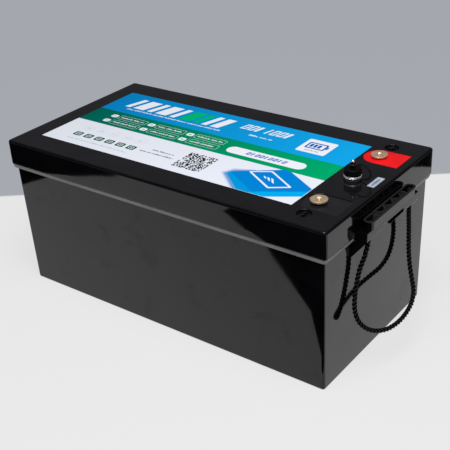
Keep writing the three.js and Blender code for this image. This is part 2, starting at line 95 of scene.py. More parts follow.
LID_HALF_X = 261.0  # the lid without its ledges
LID_HALF_Y = highs("lid").y
LID_TOP = highs("lid").z
RIM = 183.8  # foot of the slope under the lid's skirt
SKIRT = 190.5  # lower edge of the skirt
TONGUE = (250.0, 123.5, 8.0)  # the case's upper edge inside the lid: half sizes and corner radius
LEDGE_TOP = 195.6
TERMINAL = middle("pos_terminal")
TERMINAL_BORE = 7.3
SOCKET = (middle("socket_body").x, 0.0)
SOCKET_BORE = 8.2
MARK = (215.0, 106.0)  # centre of the round mark beside the positive terminal
MARK_RADIUS = 9.5
ROPE_X = 268.5  # a rope's two holes through its ledge are at ROPE_X, +-ROPE_Y
ROPE_Y = 52.0
ROPE_HOLE = 4.3
ROPE_RADIUS = 3.2
ROPE_PITCH = 16.5
STRANDS = 3
LANYARD_RADIUS = 0.85
GRIP_LIP = 1.3  # how far a grip's rim stands out from its channel's wall
GRIP_WALL = 1.8
FIT_GAP = 0.3  # between a recess and what lies in it
PLATE = (214, 232)  # levels below and above the lid's top plate, for holes cut through it
ENDS = (("right", 1), ("left", -1))


# ---------------------------------------------------------------- camera

eye = Vector((0.7134, -0.8773, 0.7121))
aim = Vector((0.0063, 0.0099, 0.0974))
camera_data = bpy.data.cameras.new("camera")
camera_data.sensor_width = 36
camera_data.lens = 72.56
camera = bpy.data.objects.new("camera", camera_data)
bpy.context.scene.collection.objects.link(camera)
camera.location = eye
camera.rotation_mode = "QUATERNION"
roll = Quaternion((0, 0, 1), math.radians(-3.58))
camera.rotation_quaternion = (aim - eye).to_track_quat("-Z", "Y") @ roll
bpy.context.scene.camera = camera


# ---------------------------------------------------------------- materials


class Finish:
    """A procedural material, built round one Principled shader."""

    def __init__(self, name, color, roughness, metallic=0.0, ior=1.5, specular=0.5):
        self.material = bpy.data.materials.new(name)
        self.material.use_nodes = True
        self.nodes = self.material.node_tree.nodes
        self.links = self.material.node_tree.links
        self.shader = self.nodes["Principled BSDF"]
        self.color = (*color, 1.0)
        self.roughness = roughness
        self.shader.inputs["Base Color"].default_value = self.color
        self.shader.inputs["Roughness"].default_value = roughness
        self.shader.inputs["Metallic"].default_value = metallic
        self.shader.inputs["IOR"].default_value = ior
        self.shader.inputs["Specular IOR Level"].default_value = specular
        coordinates = self.nodes.new("ShaderNodeTexCoord")
        self.place = coordinates.outputs["Object"]
        self.uv = coordinates.outputs["UV"]
        self.bumps = None

    def link(self, source, target):
        self.links.new(source, target)

    def stretched(self, source, scale):
        node = self.nodes.new("ShaderNodeMapping")
        node.inputs["Scale"].default_value = scale
        self.link(source, node.inputs["Vector"])
        return node.outputs["Vector"]

    def noise(self, scale, detail=2.0, rough=0.5, source=None, distortion=0.0):
        node = self.nodes.new("ShaderNodeTexNoise")
        node.inputs["Scale"].default_value = scale
        node.inputs["Detail"].default_value = detail
        node.inputs["Roughness"].default_value = rough
        node.inputs["Distortion"].default_value = distortion
        self.link(source or self.place, node.inputs["Vector"])
        return node.outputs["Fac"]

    def cells(self, scale, source=None, feature="F1", randomness=1.0):
        node = self.nodes.new("ShaderNodeTexVoronoi")
        node.feature = feature
        node.inputs["Scale"].default_value = scale
        node.inputs["Randomness"].default_value = randomness
        self.link(source or self.place, node.inputs["Vector"])
        return node.outputs["Distance"]

    def wave(self, scale, source=None, kind="BANDS", direction="X", distortion=0.0, detail=2.0):
        node = self.nodes.new("ShaderNodeTexWave")
        node.wave_type = kind
        if kind == "BANDS":
            node.bands_direction = direction
        else:
            node.rings_direction = direction
        node.inputs["Scale"].default_value = scale
        node.inputs["Distortion"].default_value = distortion
        node.inputs["Detail"].default_value = detail
        self.link(source or self.place, node.inputs["Vector"])
        return node.outputs["Fac"]

    def axis(self, name, source=None):
        node = self.nodes.new("ShaderNodeSeparateXYZ")
        self.link(source or self.place, node.inputs["Vector"])
        return node.outputs[name]

    def span(self, source, low, high, to_low=0.0, to_high=1.0):
        """source from low..high, mapped to to_low..to_high and clamped."""
        node = self.nodes.new("ShaderNodeMapRange")
        for key, value in (
            ("From Min", low),
            ("From Max", high),
            ("To Min", to_low),
            ("To Max", to_high),
        ):
            node.inputs[key].default_value = value
        self.link(source, node.inputs["Value"])
        return node.outputs["Result"]

    def times(self, a, b, operation="MULTIPLY"):
        node = self.nodes.new("ShaderNodeMath")
        node.operation = operation
        for index, value in enumerate((a, b)):
            if isinstance(value, (int, float)):
                node.inputs[index].default_value = value
            else:
                self.link(value, node.inputs[index])
        return node.outputs["Value"]

    def ramp(self, source, stops):
        node = self.nodes.new("ShaderNodeValToRGB")
        elements = node.color_ramp.elements
        while len(elements) < len(stops):
            elements.new(0.5)
        for element, (position, color) in zip(elements, stops):
            element.position = position
            element.color = (*color, 1.0)
        self.link(source, node.inputs["Fac"])
        return node.outputs["Color"]

    def mix(self, share, a, b):
        node = self.nodes.new("ShaderNodeMix")
        node.data_type = "RGBA"
        self.link(share, node.inputs["Factor"])
        for socket, value in ((node.inputs[6], a), (node.inputs[7], b)):
            if isinstance(value, tuple):
                socket.default_value = (*value[:3], 1.0)
            else:
                self.link(value, socket)
        return node.outputs[2]

    def set_color(self, source):
        self.link(source, self.shader.inputs["Base Color"])

    def set_roughness(self, source):
        self.link(source, self.shader.inputs["Roughness"])

    def bump(self, height, strength, distance):
        node = self.nodes.new("ShaderNodeBump")
        node.inputs["Strength"].default_value = strength
        node.inputs["Distance"].default_value = distance
        self.link(height, node.inputs["Height"])
        if self.bumps is not None:
            self.link(self.bumps, node.inputs["Normal"])
        self.bumps = node.outputs["Normal"]
        self.link(self.bumps, self.shader.inputs["Normal"])


def moulded(
    name, color, roughness, smudge, grain, ripple=0.0, ior=1.52, specks=0.0, specular=0.5
):
    """Moulded plastic: a smudged gloss and a fine grain. Some has dust, and slow ripples with wear."""
    finish = Finish(name, color, roughness, ior=ior, specular=specular)
    smear = finish.noise(9, 3, 0.6, distortion=0.6)
    fine = finish.noise(140, 2)
    both = finish.times(smear, finish.times(fine, 0.25), "ADD")
    finish.set_roughness(finish.span(both, 0.4, 0.85, roughness, roughness + smudge))
    tone = finish.noise(26, 4, 0.6)
    pale = tuple(min(1.0, c * 1.5 + 0.0015) for c in color)
    shade = finish.ramp(tone, [(0.35, color), (0.8, pale)])
    if specks:
        dots = finish.span(finish.cells(150), 0.035, 0.02)
        patchy = finish.span(finish.noise(30, 1), 0.55, 0.7, 0.0, specks)
        dust = finish.times(dots, patchy)
        shade = finish.mix(dust, shade, (0.3, 0.3, 0.31))
    finish.set_color(shade)
    if ripple:
        finish.bump(finish.noise(5.5, 1, 0.4), ripple, 0.004)
        handled = finish.noise(19, 3, 0.65, distortion=0.8)
        sheen = finish.span(handled, 0.3, 0.44, 0.41, specular)
        finish.link(sheen, finish.shader.inputs["Specular IOR Level"])
    finish.bump(finish.noise(1500, 2), grain, 0.0002)
    return finish.material


def turned_metal(name, color, roughness, centre, rings=900, dull=0.12, metallic=1.0):
    """Metal turned on a lathe, with fine tool rings about a vertical axis."""
    finish = Finish(name, color, roughness, metallic=metallic)
    node = finish.nodes.new("ShaderNodeMapping")
    node.inputs["Location"].default_value = (-centre[0] * MM, -centre[1] * MM, 0)
    finish.link(finish.place, node.inputs["Vector"])
    local = node.outputs["Vector"]
    tool = finish.wave(rings, local, "RINGS", "Z", 0.4)
    wear_and_highlight = finish.noise(170, 3, 0.6)
    dark = tuple(c * 0.62 for c in color)
    finish.set_color(finish.ramp(wear_and_highlight, [(0.3, dark), (0.62, color)]))
    finish.set_roughness(finish.span(wear_and_highlight, 0.3, 0.8, roughness + dull, roughness))
    finish.bump(tool, 0.12, 0.0002)
    finish.bump(finish.noise(900, 2), 0.1, 0.0002)
    return finish.material


def plain_finish(name, color, roughness, scale, strength, metallic=0.0, spread=0.25):
    """A grained finish: colour and gloss vary with one noise, and its height with a finer one."""
    finish = Finish(name, color, roughness, metallic=metallic)
    cloud = finish.noise(scale, 4, 0.6)
    dark = tuple(c * (1 - spread) for c in color)
    pale = tuple(min(1.0, c * (1 + spread)) for c in color)
    finish.set_color(finish.ramp(cloud, [(0.3, dark), (0.7, pale)]))
    finish.set_roughness(finish.span(cloud, 0.3, 0.7, roughness * 0.8, min(1, roughness * 1.2)))
    finish.bump(finish.noise(scale * 12, 2), strength, 0.0003)
    return finish.material


def rope_finish():
    """Twisted nylon: a painted highlight as a paler line on each strand's crest, fine yarns, and a soft
    fuzz.
    """
    finish = Finish("rope_nylon", (0.003, 0.003, 0.0033), 0.6, specular=0.04)
    groove = finish.wave(0.31416, finish.uv)
    yarns = finish.wave(5.0, finish.stretched(finish.uv, (2, 0.9, 1)), "BANDS", "X", 0.6)
    fuzz = finish.noise(1300, 3, 0.7)
    # Painted highlight: the strands' crests are coloured paler
    crest = finish.times(groove, finish.times(fuzz, 0.12), "ADD")
    dark, pale = (0.0018, 0.0018, 0.002), (0.034, 0.034, 0.036)
    finish.set_color(finish.ramp(crest, [(0.08, pale), (0.3, dark)]))
    finish.set_roughness(finish.span(fuzz, 0.3, 0.7, 0.5, 0.75))
    finish.bump(yarns, 0.5, 0.0004)
    finish.bump(fuzz, 0.35, 0.0003)
    return finish.material


def printed(name, color, end_color=None, roughness=0.32, gloss_grain=0.05):
    """Printed film. With an end colour, the ink runs from one to the other along X."""
    finish = Finish(name, color, roughness, ior=1.45, specular=0.0)
    dots = finish.noise(2600, 1)
    if end_color:
        run = finish.span(finish.axis("X"), lows("label").x * MM, highs("label").x * MM)
        uneven = finish.times(run, finish.times(dots, 0.02), "ADD")
        half = tuple((a + b) / 2 for a, b in zip(color, end_color))
        finish.set_color(finish.ramp(uneven, [(0.0, color), (0.55, half), (1.0, end_color)]))
    else:
        pale = tuple(min(1.0, c * 1.04 + 0.002) for c in color)
        finish.set_color(finish.ramp(dots, [(0.3, color), (0.7, pale)]))
    smear = finish.noise(60, 3)
    finish.set_roughness(finish.span(smear, 0.3, 0.7, roughness - 0.04, roughness + 0.06))
    finish.bump(finish.noise(700, 2), gloss_grain, 0.0001)
    return finish.material


GLOSS_BLACK = (0.0012, 0.0013, 0.0017)
SHELL = moulded("shell_gloss", GLOSS_BLACK, 0.025, 0.04, 0.015, 0.05, ior=1.44, specks=0.5)
SIDES = moulded("lid_gloss", GLOSS_BLACK, 0.03, 0.04, 0.015, 0.05, ior=1.44, specks=0.5)
TOP = moulded("lid_satin", (0.0045, 0.0042, 0.0053), 0.045, 0.05, 0.02, ior=1.45, specks=0.5)
RECESS = moulded("lid_recess", (0.003, 0.003, 0.0035), 0.12, 0.1, 0.05)
# Painted reflection: the slope under the skirt is coloured pale grey for the bright floor it mirrors
SEAM = moulded("seam_slope_painted_reflection", (0.13, 0.132, 0.135), 0.42, 0.1, 0.05, ior=1.45)
# Painted reflection: a pale line along the case's rounded bottom edge, for the bright floor it mirrors
FOOT_REFLECTION = moulded("foot_painted_reflection", (0.14, 0.14, 0.142), 0.45, 0.1, 0.05)
EDGE = moulded("lid_edge", (0.0012, 0.0012, 0.0015), 0.25, 0.1, 0.04, specular=0.12)
# Painted highlight: the pale front lip of the D-shaped recess
LIP = moulded("recess_lip_painted_highlight", (0.05, 0.05, 0.052), 0.4, 0.1, 0.05)
MOULDING = [SIDES, TOP, RECESS, SEAM, EDGE, LIP]
ON_SIDES, ON_TOP, IN_RECESS, ON_SEAM, ON_EDGE, ON_LIP = range(len(MOULDING))
GRIP = moulded("grip_plastic", (0.002, 0.002, 0.0023), 0.06, 0.1, 0.06, ior=1.44)
# Painted light: the ribs are coloured paler than the grip's black plastic, lit against the channel's
# shade
RIB_LIT = moulded("grip_rib_painted_light", (0.028, 0.028, 0.03), 0.35, 0.1, 0.08)
# Painted highlight: the grip's rim is coloured paler than its black plastic, for the light it catches
RIM_HIGHLIGHT = moulded("grip_rim_painted_highlight", (0.011, 0.011, 0.0115), 0.3, 0.1, 0.08)
RUBBER = plain_finish("seal_rubber", (0.012, 0.012, 0.013), 0.7, 220, 0.25)
KNURL = moulded("black_anodised", (0.002, 0.002, 0.0022), 0.3, 0.12, 0.12, specular=0.07)
CORD = moulded("cord_rubber", (0.003, 0.003, 0.0035), 0.5, 0.15, 0.1, specular=0.1)
RED = moulded("red_plastic", (0.72, 0.004, 0.006), 0.22, 0.12, 0.05, ior=1.45)
BLACK = moulded("black_plastic", (0.008, 0.0078, 0.009), 0.2, 0.12, 0.06)
ROPE = rope_finish()
BLUE_FILM = printed("film_blue", (0.003, 0.2, 0.49), (0.006, 0.35, 0.74))
GREEN_FILM = printed("film_green", (0.001, 0.105, 0.085), (0.0, 0.36, 0.135))
WHITE_FILM = printed("film_white", (0.7, 0.725, 0.79), (0.74, 0.765, 0.84))
WHITE_INK = printed("ink_white", (0.76, 0.78, 0.84))
GREEN_INK = printed("ink_green", (0.0, 0.42, 0.15))
DARK_GREEN_INK = printed("ink_dark_green", (0.003, 0.085, 0.055))
BLUE_INK = printed("ink_blue", (0.004, 0.1, 0.4))
BRIGHT_INK = printed("ink_bright_blue", (0.0, 0.2, 0.58))
CYAN_INK = printed("ink_cyan", (0.0, 0.36, 0.74))
DARK_INK = printed("ink_dark", (0.015, 0.017, 0.02))
GREY_INK = printed("ink_grey", (0.42, 0.45, 0.5))
SIDE_INK = printed("ink_blue_side", (0.0, 0.27, 0.62))
HAZE = [
    printed("ink_haze_1", (0.16, 0.3, 0.56)),
    printed("ink_haze_2", (0.4, 0.48, 0.7)),
    printed("ink_haze_3", (0.6, 0.64, 0.77)),
]
STICKER = printed("sticker_film", (0.42, 0.47, 0.55), roughness=0.4)
STICKER_EDGE = printed("sticker_edge", (0.22, 0.27, 0.35), roughness=0.4)
STICKER_MARK = printed("sticker_mark", (0.1, 0.13, 0.2), roughness=0.4)


# ---------------------------------------------------------------- mesh helpers


def mesh_piece(name, points, faces, materials, indices=None, crease=32, weighted=True):
    """A new object from points in millimetres. Faces turn outwards, and shading follows the curves."""
    data = bpy.data.meshes.new(name)
    data.from_pydata([tuple(c * MM for c in p) for p in points], [], faces)
    for material in materials:
        data.materials.append(material)
    if indices:
        data.polygons.foreach_set("material_index", indices)
    piece = bpy.data.objects.new(name, data)
    bpy.context.scene.collection.objects.link(piece)
    tidy_mesh(piece, crease)
    if weighted:
        weigh(piece)
    return piece


def tidy_mesh(piece, crease):
    """Faces outwards, and smooth up to the crease angle."""
    data = piece.data
    work = bmesh.new()
    work.from_mesh(data)
    bmesh.ops.recalc_face_normals(work, faces=work.faces)
    work.to_mesh(data)
    work.free()
    data.shade_smooth()
    data.set_sharp_from_angle(angle=math.radians(crease))


def weigh(piece):
    """Flat faces stay flat beside their rounded edges."""
    modifier = piece.modifiers.new("weights", "WEIGHTED_NORMAL")
    modifier.keep_sharp = True
    modifier.weight = 100


def round_point(centre, radius, angle):
    return centre[0] + radius * math.cos(angle), centre[1] + radius * math.sin(angle)


def rounded(half_x, half_y, radius, steps=6, centre=(0.0, 0.0)):
    """Outline of a rectangle with round corners, anticlockwise."""
    points = []
    for turn, (sx, sy) in enumerate(((1, 1), (-1, 1), (-1, -1), (1, -1))):
        corner = (centre[0] + sx * (half_x - radius), centre[1] + sy * (half_y - radius))
        for i in range(steps + 1):
            points.append(round_point(corner, radius, math.pi / 2 * (turn + i / steps)))
    return points


def circle(radius, sides, centre=(0.0, 0.0)):
    return [round_point(centre, radius, 2 * math.pi * i / sides) for i in range(sides)]


def softened(profile, radius, steps=3, closed=False):
    """A polyline with its corners rounded."""
    points = [Vector(p) for p in profile]
    count = len(points)
    made = []
    for i, corner in enumerate(points):
        if not closed and i in (0, count - 1):
            made.append(corner)
            continue
        before, after = points[i - 1] - corner, points[(i + 1) % count] - corner
        reach = min(radius, before.length * 0.45, after.length * 0.45)
        start = corner + before.normalized() * reach
        end = corner + after.normalized() * reach
        for j in range(steps + 1):
            t = j / steps
            made.append(start * (1 - t) ** 2 + corner * 2 * t * (1 - t) + end * t**2)
    return [tuple(p) for p in made]


def loft(rings, closed=False):
    """Points and faces through rings of equal count, capped at both ends unless closed."""
    count = len(rings[0])
    points = [p for ring in rings for p in ring]
    faces = []
    spans = len(rings) if closed else len(rings) - 1
    for k in range(spans):
        a, b = k * count, ((k + 1) % len(rings)) * count
        for i in range(count):
            j = (i + 1) % count
            faces.append((a + i, a + j, b + j, b + i))
    if not closed:
        faces.append(tuple(reversed(range(count))))
        faces.append(tuple(range((len(rings) - 1) * count, len(rings) * count)))
    return points, faces


def level(outline, z):
    return [(x, y, z) for x, y in outline]


def lathe(profile, centre, sides=64, closed=False, shape=None):
    """Rings about a vertical axis. shape(angle, radius, height) may change each radius."""
    shape = shape or (lambda angle, radius, height: radius)
    angles = [2 * math.pi * i / sides for i in range(sides)]
    rings = []
    for radius, z in profile:
        radii = [shape(angle, max(radius, 0.02), z) for angle in angles]
        rings.append(level([round_point(centre, r, a) for r, a in zip(radii, angles)], z))
    return loft(rings, closed)


def prism(outline, bottom, top):
    return loft([level(outline, bottom), level(outline, top)])


def merged(parts):
    """Several (points, faces) as one."""
    points, faces = [], []
    for more_points, more_faces in parts:
        start = len(points)
        points.extend(more_points)
        faces.extend(tuple(i + start for i in face) for face in more_faces)
    return points, faces


def boolean(piece, tools, operation, crease=32):
    """Cuts tools from piece, or joins them, and takes the result as its mesh."""
    piece.modifiers.clear()
    for other in tools:
        modifier = piece.modifiers.new("cut", "BOOLEAN")
        modifier.operation = operation
        modifier.solver = "EXACT"
        modifier.object = other
    graph = bpy.context.evaluated_depsgraph_get()
    result = bpy.data.meshes.new_from_object(piece.evaluated_get(graph))
    piece.modifiers.clear()
    piece.data = result
    for other in tools:
        bpy.data.objects.remove(other)
    tidy_mesh(piece, crease)
    weigh(piece)


def tool(parts, materials, index):
    """A cutting body whose faces carry one of the cut piece's materials."""
    points, faces = parts
    return mesh_piece("tool", points, faces, materials, [index] * len(faces), weighted=False)


def declare(piece, slot_name, body, *nodes):
    """The body a piece rides on, and the CAD nodes it stands for, which are hidden. slot_name is not
    used.
    """
    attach(piece, body)
    if nodes:
        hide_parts(*nodes)


# ---------------------------------------------------------------- cords and rope handles


def smooth_path(points, step):
    """Evenly spaced points along a centripetal Catmull-Rom curve."""
    fixed = [np.array(p, float) for p in points]
    fixed = [2 * fixed[0] - fixed[1], *fixed, 2 * fixed[-1] - fixed[-2]]
    dense = []
    for i in range(1, len(fixed) - 2):
        p0, p1, p2, p3 = fixed[i - 1 : i + 3]
        t0 = 0.0
        t1 = t0 + math.sqrt(np.linalg.norm(p1 - p0))
        t2 = t1 + math.sqrt(np.linalg.norm(p2 - p1))
        t3 = t2 + math.sqrt(np.linalg.norm(p3 - p2))
        for t in np.linspace(t1, t2, 24, endpoint=False):
            a1 = (t1 - t) / (t1 - t0) * p0 + (t - t0) / (t1 - t0) * p1
            a2 = (t2 - t) / (t2 - t1) * p1 + (t - t1) / (t2 - t1) * p2
            a3 = (t3 - t) / (t3 - t2) * p2 + (t - t2) / (t3 - t2) * p3
            b1 = (t2 - t) / (t2 - t0) * a1 + (t - t0) / (t2 - t0) * a2
            b2 = (t3 - t) / (t3 - t1) * a2 + (t - t1) / (t3 - t1) * a3
            dense.append((t2 - t) / (t2 - t1) * b1 + (t - t1) / (t2 - t1) * b2)
    dense.append(fixed[-2])
    dense = np.array(dense)
    along = np.concatenate([[0], np.cumsum(np.linalg.norm(np.diff(dense, axis=0), axis=1))])
    count = max(2, int(round(along[-1] / step)) + 1)
    places = np.linspace(0, along[-1], count)
    return np.stack([np.interp(places, along, dense[:, k]) for k in range(3)], axis=1), places


def path_frames(path):
    """Two directions across the path at each point, carried along it without twisting."""
    tangents = np.gradient(path, axis=0)
    tangents /= np.linalg.norm(tangents, axis=1)[:, None]
    across = np.cross(tangents[0], (1.0, 0.0, 0.0))
    if np.linalg.norm(across) < 0.2:
        across = np.cross(tangents[0], (0.0, 1.0, 0.0))
    across /= np.linalg.norm(across)
    firsts, seconds = [], []
    for tangent in tangents:
        across = across - tangent * (across @ tangent)
        across /= np.linalg.norm(across)
        firsts.append(across)
        seconds.append(np.cross(tangent, across))
    return np.array(firsts), np.array(seconds)


def strand_radius(angle):
    """Radius of a three-strand rope's section at an angle from one strand's middle."""
    offset = 0.51 * ROPE_RADIUS
    strand = ROPE_RADIUS - offset
    spread = 2 * math.pi / STRANDS
    near = (angle + spread / 2) % spread - spread / 2
    return offset * np.cos(near) + np.sqrt(strand**2 - (offset * np.sin(near)) ** 2)


def rope_mesh(name, path, turns, sides=30):
    """A twisted rope along a path, turned by turns (in radians) at each point."""
    firsts, seconds = path_frames(path)
    angles = np.linspace(0, 2 * math.pi, sides, endpoint=False)
    rings = []
    for centre, first, second, turn in zip(path, firsts, seconds, turns):
        radii = strand_radius(angles - turn)
        outwards = np.outer(np.cos(angles), first) + np.outer(np.sin(angles), second)
        rings.append([tuple(p) for p in centre + radii[:, None] * outwards])
    points, faces = loft(rings)
    piece = mesh_piece(name, points, faces, [ROPE], crease=80, weighted=False)
    strand_map(piece, sides, turns)
    return piece


def strand_map(piece, sides, turns):
    """UVs: whole numbers run along the strands' crests, and v is a tenth of a ring's number."""
    layer = piece.data.uv_layers.new(name="UVMap")
    for polygon in piece.data.polygons:
        places = [v % sides for v in polygon.vertices]
        wraps = min(places) == 0 and max(places) == sides - 1 and len(places) == 4
        for corner, vertex, place in zip(polygon.loop_indices, polygon.vertices, places):
            ring = vertex // sides
            share = 1.0 if wraps and place == 0 else place / sides
            layer.data[corner].uv = (STRANDS * (share - turns[ring] / (2 * math.pi)), ring / 10)


ROPE_ROUTE = [
    (ROPE_X, -ROPE_Y, 197.6),
    (ROPE_X, -ROPE_Y, 186),
    (ROPE_X, -52.1, 175),
    (266, -54.6, 159),
    (262.8, -60, 143),
    (261.8, -65.5, 125),
    (262, -70, 107),
    (264, -72.5, 90),
    (268.5, -70.5, 75),
    (275.5, -63, 63),
    (283, -50.5, 55),
    (289.5, -34, 51),
    (293.5, -13, 51),
    (294, 8, 54),
    (291.5, 27, 59),
    (285.5, 42, 66),
    (277.5, 52, 76),
    (271, 58, 90),
    (267.3, 61, 107),
    (265.8, 62, 125),
    (265.8, 60.5, 143),
    (267, 56.5, 160),
    (ROPE_X, 52.2, 175),
    (ROPE_X, ROPE_Y, 186),
    (ROPE_X, ROPE_Y, 197.6),
]
LOOP_TOP = 163.0  # where the hanging loop meets the two straight necks
NECK_START = 186.5  # below this height lifted() leaves a neck's points where they are
NECK_END = 197.5  # above this one, lifted() raises them by the whole lift
LIFT = frame["joints"][0]["range_m"][1] / MM


def rope_handle(end, sign):
    """The loop that hangs under a ledge, and the two necks that run up into the grip."""
    route = [(sign * x, sign * y, z) for x, y, z in ROPE_ROUTE]
    path, places = smooth_path(route, 0.75)
    half = len(path) // 2
    hanging = [i for i in range(len(path)) if path[i][2] <= LOOP_TOP + 1.0]
    first, last = hanging[0], hanging[-1]
    loop = path[first : last + 1]
    turns = 2 * math.pi * places[first : last + 1] / ROPE_PITCH
    piece = rope_mesh(f"rope_{end}_loop", loop, turns)
    declare(piece, "rope", "case", f"rope_{end}")
    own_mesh(piece)
    for number, (run, order) in enumerate(((path[:half], 1), (path[half:][::-1], -1)), 1):
        upper = np.array([p for p in run if p[2] >= LOOP_TOP - 1.0])
        neck = rope_neck(f"rope_{end}_neck_{number}", upper, order)
        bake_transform(neck)


def lifted(z):
    """Height of a neck's point when its grip is fully lifted."""
    t = np.clip((z - NECK_START) / (NECK_END - NECK_START), 0, 1)
    return z + LIFT * t * t * (3 - 2 * t)


def rope_neck(name, run, order):
    """A neck whose rings are spaced, and whose strands are laid, for the lifted grip."""
    heights = run[::-1, 2]
    samples = np.linspace(heights.min(), NECK_END + 0.1, 4000)
    raised = lifted(samples)
    wanted = np.arange(raised[0], raised[-1], 0.9)
    z = np.interp(wanted, raised, samples)
    path = np.stack([np.interp(z, heights, run[::-1, k]) for k in (0, 1)] + [z], axis=1)
    turns = -order * 2 * math.pi * wanted / ROPE_PITCH
    return rope_mesh(name, path, turns)


for end, sign in ENDS:
    rope_handle(end, sign)


LANYARD_ROUTE = [
    (223.2, 0, 245.5),
    (228, 0, 247.4),
    (233.8, 0, 246.9),
    (239.3, 0, 243.8),
    (241.9, 0, 239.2),
    (241.6, 0, 234.6),
    (239, 0, 231),
    (235, 0, 229),
    (231.1, 0, 228.4),
]


def lanyard():
    path, _ = smooth_path(LANYARD_ROUTE, 0.4)
    angles = np.linspace(0, 2 * math.pi, 14, endpoint=False)
    rings = []
    for centre, first, second in zip(path, *path_frames(path)):
        outwards = np.outer(np.cos(angles), first) + np.outer(np.sin(angles), second)
        rings.append([tuple(p) for p in centre + LANYARD_RADIUS * outwards])
    points, faces = loft(rings)
    piece = mesh_piece("cap_lanyard_cord", points, faces, [CORD], crease=60, weighted=False)
    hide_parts("cap_lanyard")
    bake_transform(piece)


lanyard()


# ---------------------------------------------------------------- case


def case_outline(z, inset=0.0):
    """The tapered wall's outline at a height, moved in by inset."""
    top = highs("container")
    draft = 2.5 * (1 - min(z, RIM) / RIM)
    radius = max(3.5 - inset, 0.8)
    return rounded(top.x - draft - inset, top.y - draft - inset, radius, 8)


def box_ring(size, inset, z, steps=8):
    """A level ring of a box given by its half sizes and corner radius."""
    half_x, half_y, radius = size
    return level(rounded(half_x - inset, half_y - inset, radius, steps), z)


def container():
    low, high = lows("container"), highs("container")
    rim = RIM - 0.3
    edge = 2.0
    rings = []
    for i in range(7):
        angle = math.pi / 2 * i / 6
        z = edge * (1 - math.cos(angle))
        rings.append(level(case_outline(z, edge * (1 - math.sin(angle))), low.z + z))
    for z in (30.0, 80.0, 130.0, rim - 0.8):
        rings.append(level(case_outline(z), z))
    for inset, drop in ((0.06, 0.4), (0.25, 0.15), (0.6, 0.0)):
        rings.append(level(case_outline(rim, inset), rim - drop))
    for inset, z in ((0, rim), (0, high.z - 0.6), (0.2, high.z - 0.2), (0.6, high.z)):
        rings.append(box_ring(TONGUE, inset, z))
    inner = (TONGUE[0] - 3, TONGUE[1] - 3, TONGUE[2] - 2)
    for inset, z in ((-0.6, high.z), (-0.2, high.z - 0.2), (0, high.z - 0.6), (0, 9), (1.2, 6.2), (4, 5)):
        rings.append(box_ring(inner, inset, z))
    points, faces = loft(rings)
    # the faces of the rounded bottom edge get the painted reflection
    on_foot = [len(face) == 4 and max(points[i][2] for i in face) < edge * 0.8 for face in faces]
    indices = [int(foot) for foot in on_foot]
    piece = mesh_piece("container_shell", points, faces, [SHELL, FOOT_REFLECTION], indices)
    declare(piece, "case_shell", "case", "container")


def soft_run(profile, y0, y1):
    """A profile in X and Z, run from y0 to y1, with soft edges."""
    outline = softened(profile, 0.7, 2, closed=True)
    middle_x = sum(p[0] for p in outline) / len(outline)
    middle_z = sum(p[1] for p in outline) / len(outline)
    ends = [(0, 0.7), (0.25, 0.2), (0.7, 0)]
    stops = [(y0 + depth, shrink) for depth, shrink in ends]
    stops += [(y1 - depth, shrink) for depth, shrink in reversed(ends)]
    rings = []
    for y, shrink in stops:
        ring = []
        for x, z in outline:
            dx, dz = x - middle_x, z - middle_z
            size = math.hypot(dx, dz)
            factor = (size - shrink) / size
            ring.append((middle_x + dx * factor, y, middle_z + dz * factor))
        rings.append(ring)
    return loft(rings)


def ledge_body(sign):
    """The ledge under a grip: a shelf with a deeper gusseted block at each end."""
    top, outer, inner = LEDGE_TOP, 274.5, 254.5
    half, block_inner = 64.5, 26.0
    end = half + 8.0
    shelf = [(inner, top - 6), (outer, top - 6), (outer, top), (inner, top)]
    gusset = [(inner, 162.0), (inner + 2, 162.0), (outer, top - 11), (outer, top), (inner, top)]
    runs = ((shelf, -end, end), (gusset, block_inner, end), (gusset, -end, -block_inner))
    body, *blocks = [tool(soft_run(*run), MOULDING, ON_SIDES) for run in runs]
    boolean(body, blocks, "UNION")
    corners = [(inner - 5, -end), (inner + 0.5, -end), (outer, -half)]
    corners += [(x, -y) for x, y in reversed(corners)]
    footprint = softened(corners, 1.0, 3, closed=True)
    boolean(body, [tool(prism(footprint, 100, 230), MOULDING, ON_SIDES)], "INTERSECT")
    hole = [(0, 100), (ROPE_HOLE, 100), (ROPE_HOLE, top - 0.5), (ROPE_HOLE + 0.5, top)]
    hole += [(ROPE_HOLE + 1, top + 4), (0, top + 4)]
    holes = []
    for side in (-1, 1):
        holes.append(tool(lathe(hole, (ROPE_X, side * ROPE_Y), 32), MOULDING, IN_RECESS))
    boolean(body, holes, "DIFFERENCE")
    if sign < 0:
        body.data.transform(Quaternion((0, 0, 1), math.pi).to_matrix().to_4x4())
    return body


def d_outline(side, grow=0.0, steps=20):
    """Outline of the D-shaped recess round a terminal, open end towards +X."""
    node = "pos_patch" if side > 0 else "neg_patch"
    (_, y), (_, half_y) = plan(node)
    radius = half_y + FIT_GAP + grow
    centre = (lows(node).x + half_y, y)
    end = highs(node).x + FIT_GAP + grow
    arc = [round_point(centre, radius, math.pi / 2 + math.pi * i / steps) for i in range(steps + 1)]
    return [(end, y - radius), (end, y + radius), *arc]


def chamfered_cut(outline_at, floor):
    """A recess tool: straight sides and a small rounded lip at the lid's top."""
    top = LID_TOP
    steps = [(0.0, floor), (0.0, top - 0.35), (0.12, top - 0.12), (0.35, top), (0.35, top + 3)]
    return loft([level(outline_at(grow), z) for grow, z in steps])


def patch_tool(side):
    """The D-shaped recess. The front of its lip is painted pale, as a painted highlight."""
    points, faces = chamfered_cut(lambda g: d_outline(side, g), LID_TOP - 1.2)
    indices = []
    for face in faces:
        x, y, z = (sum(points[i][k] for i in face) / len(face) for k in range(3))
        front = 0.6 * (x - TERMINAL.x) - 0.8 * (y - side * TERMINAL.y) > 4
        # faces on the front of the lip get the painted highlight
        wear_and_highlight = front and z > LID_TOP - 0.36
        indices.append(ON_TOP if len(face) > 4 else ON_LIP if wear_and_highlight else IN_RECESS)
    return mesh_piece("tool", points, faces, MOULDING, indices, weighted=False)


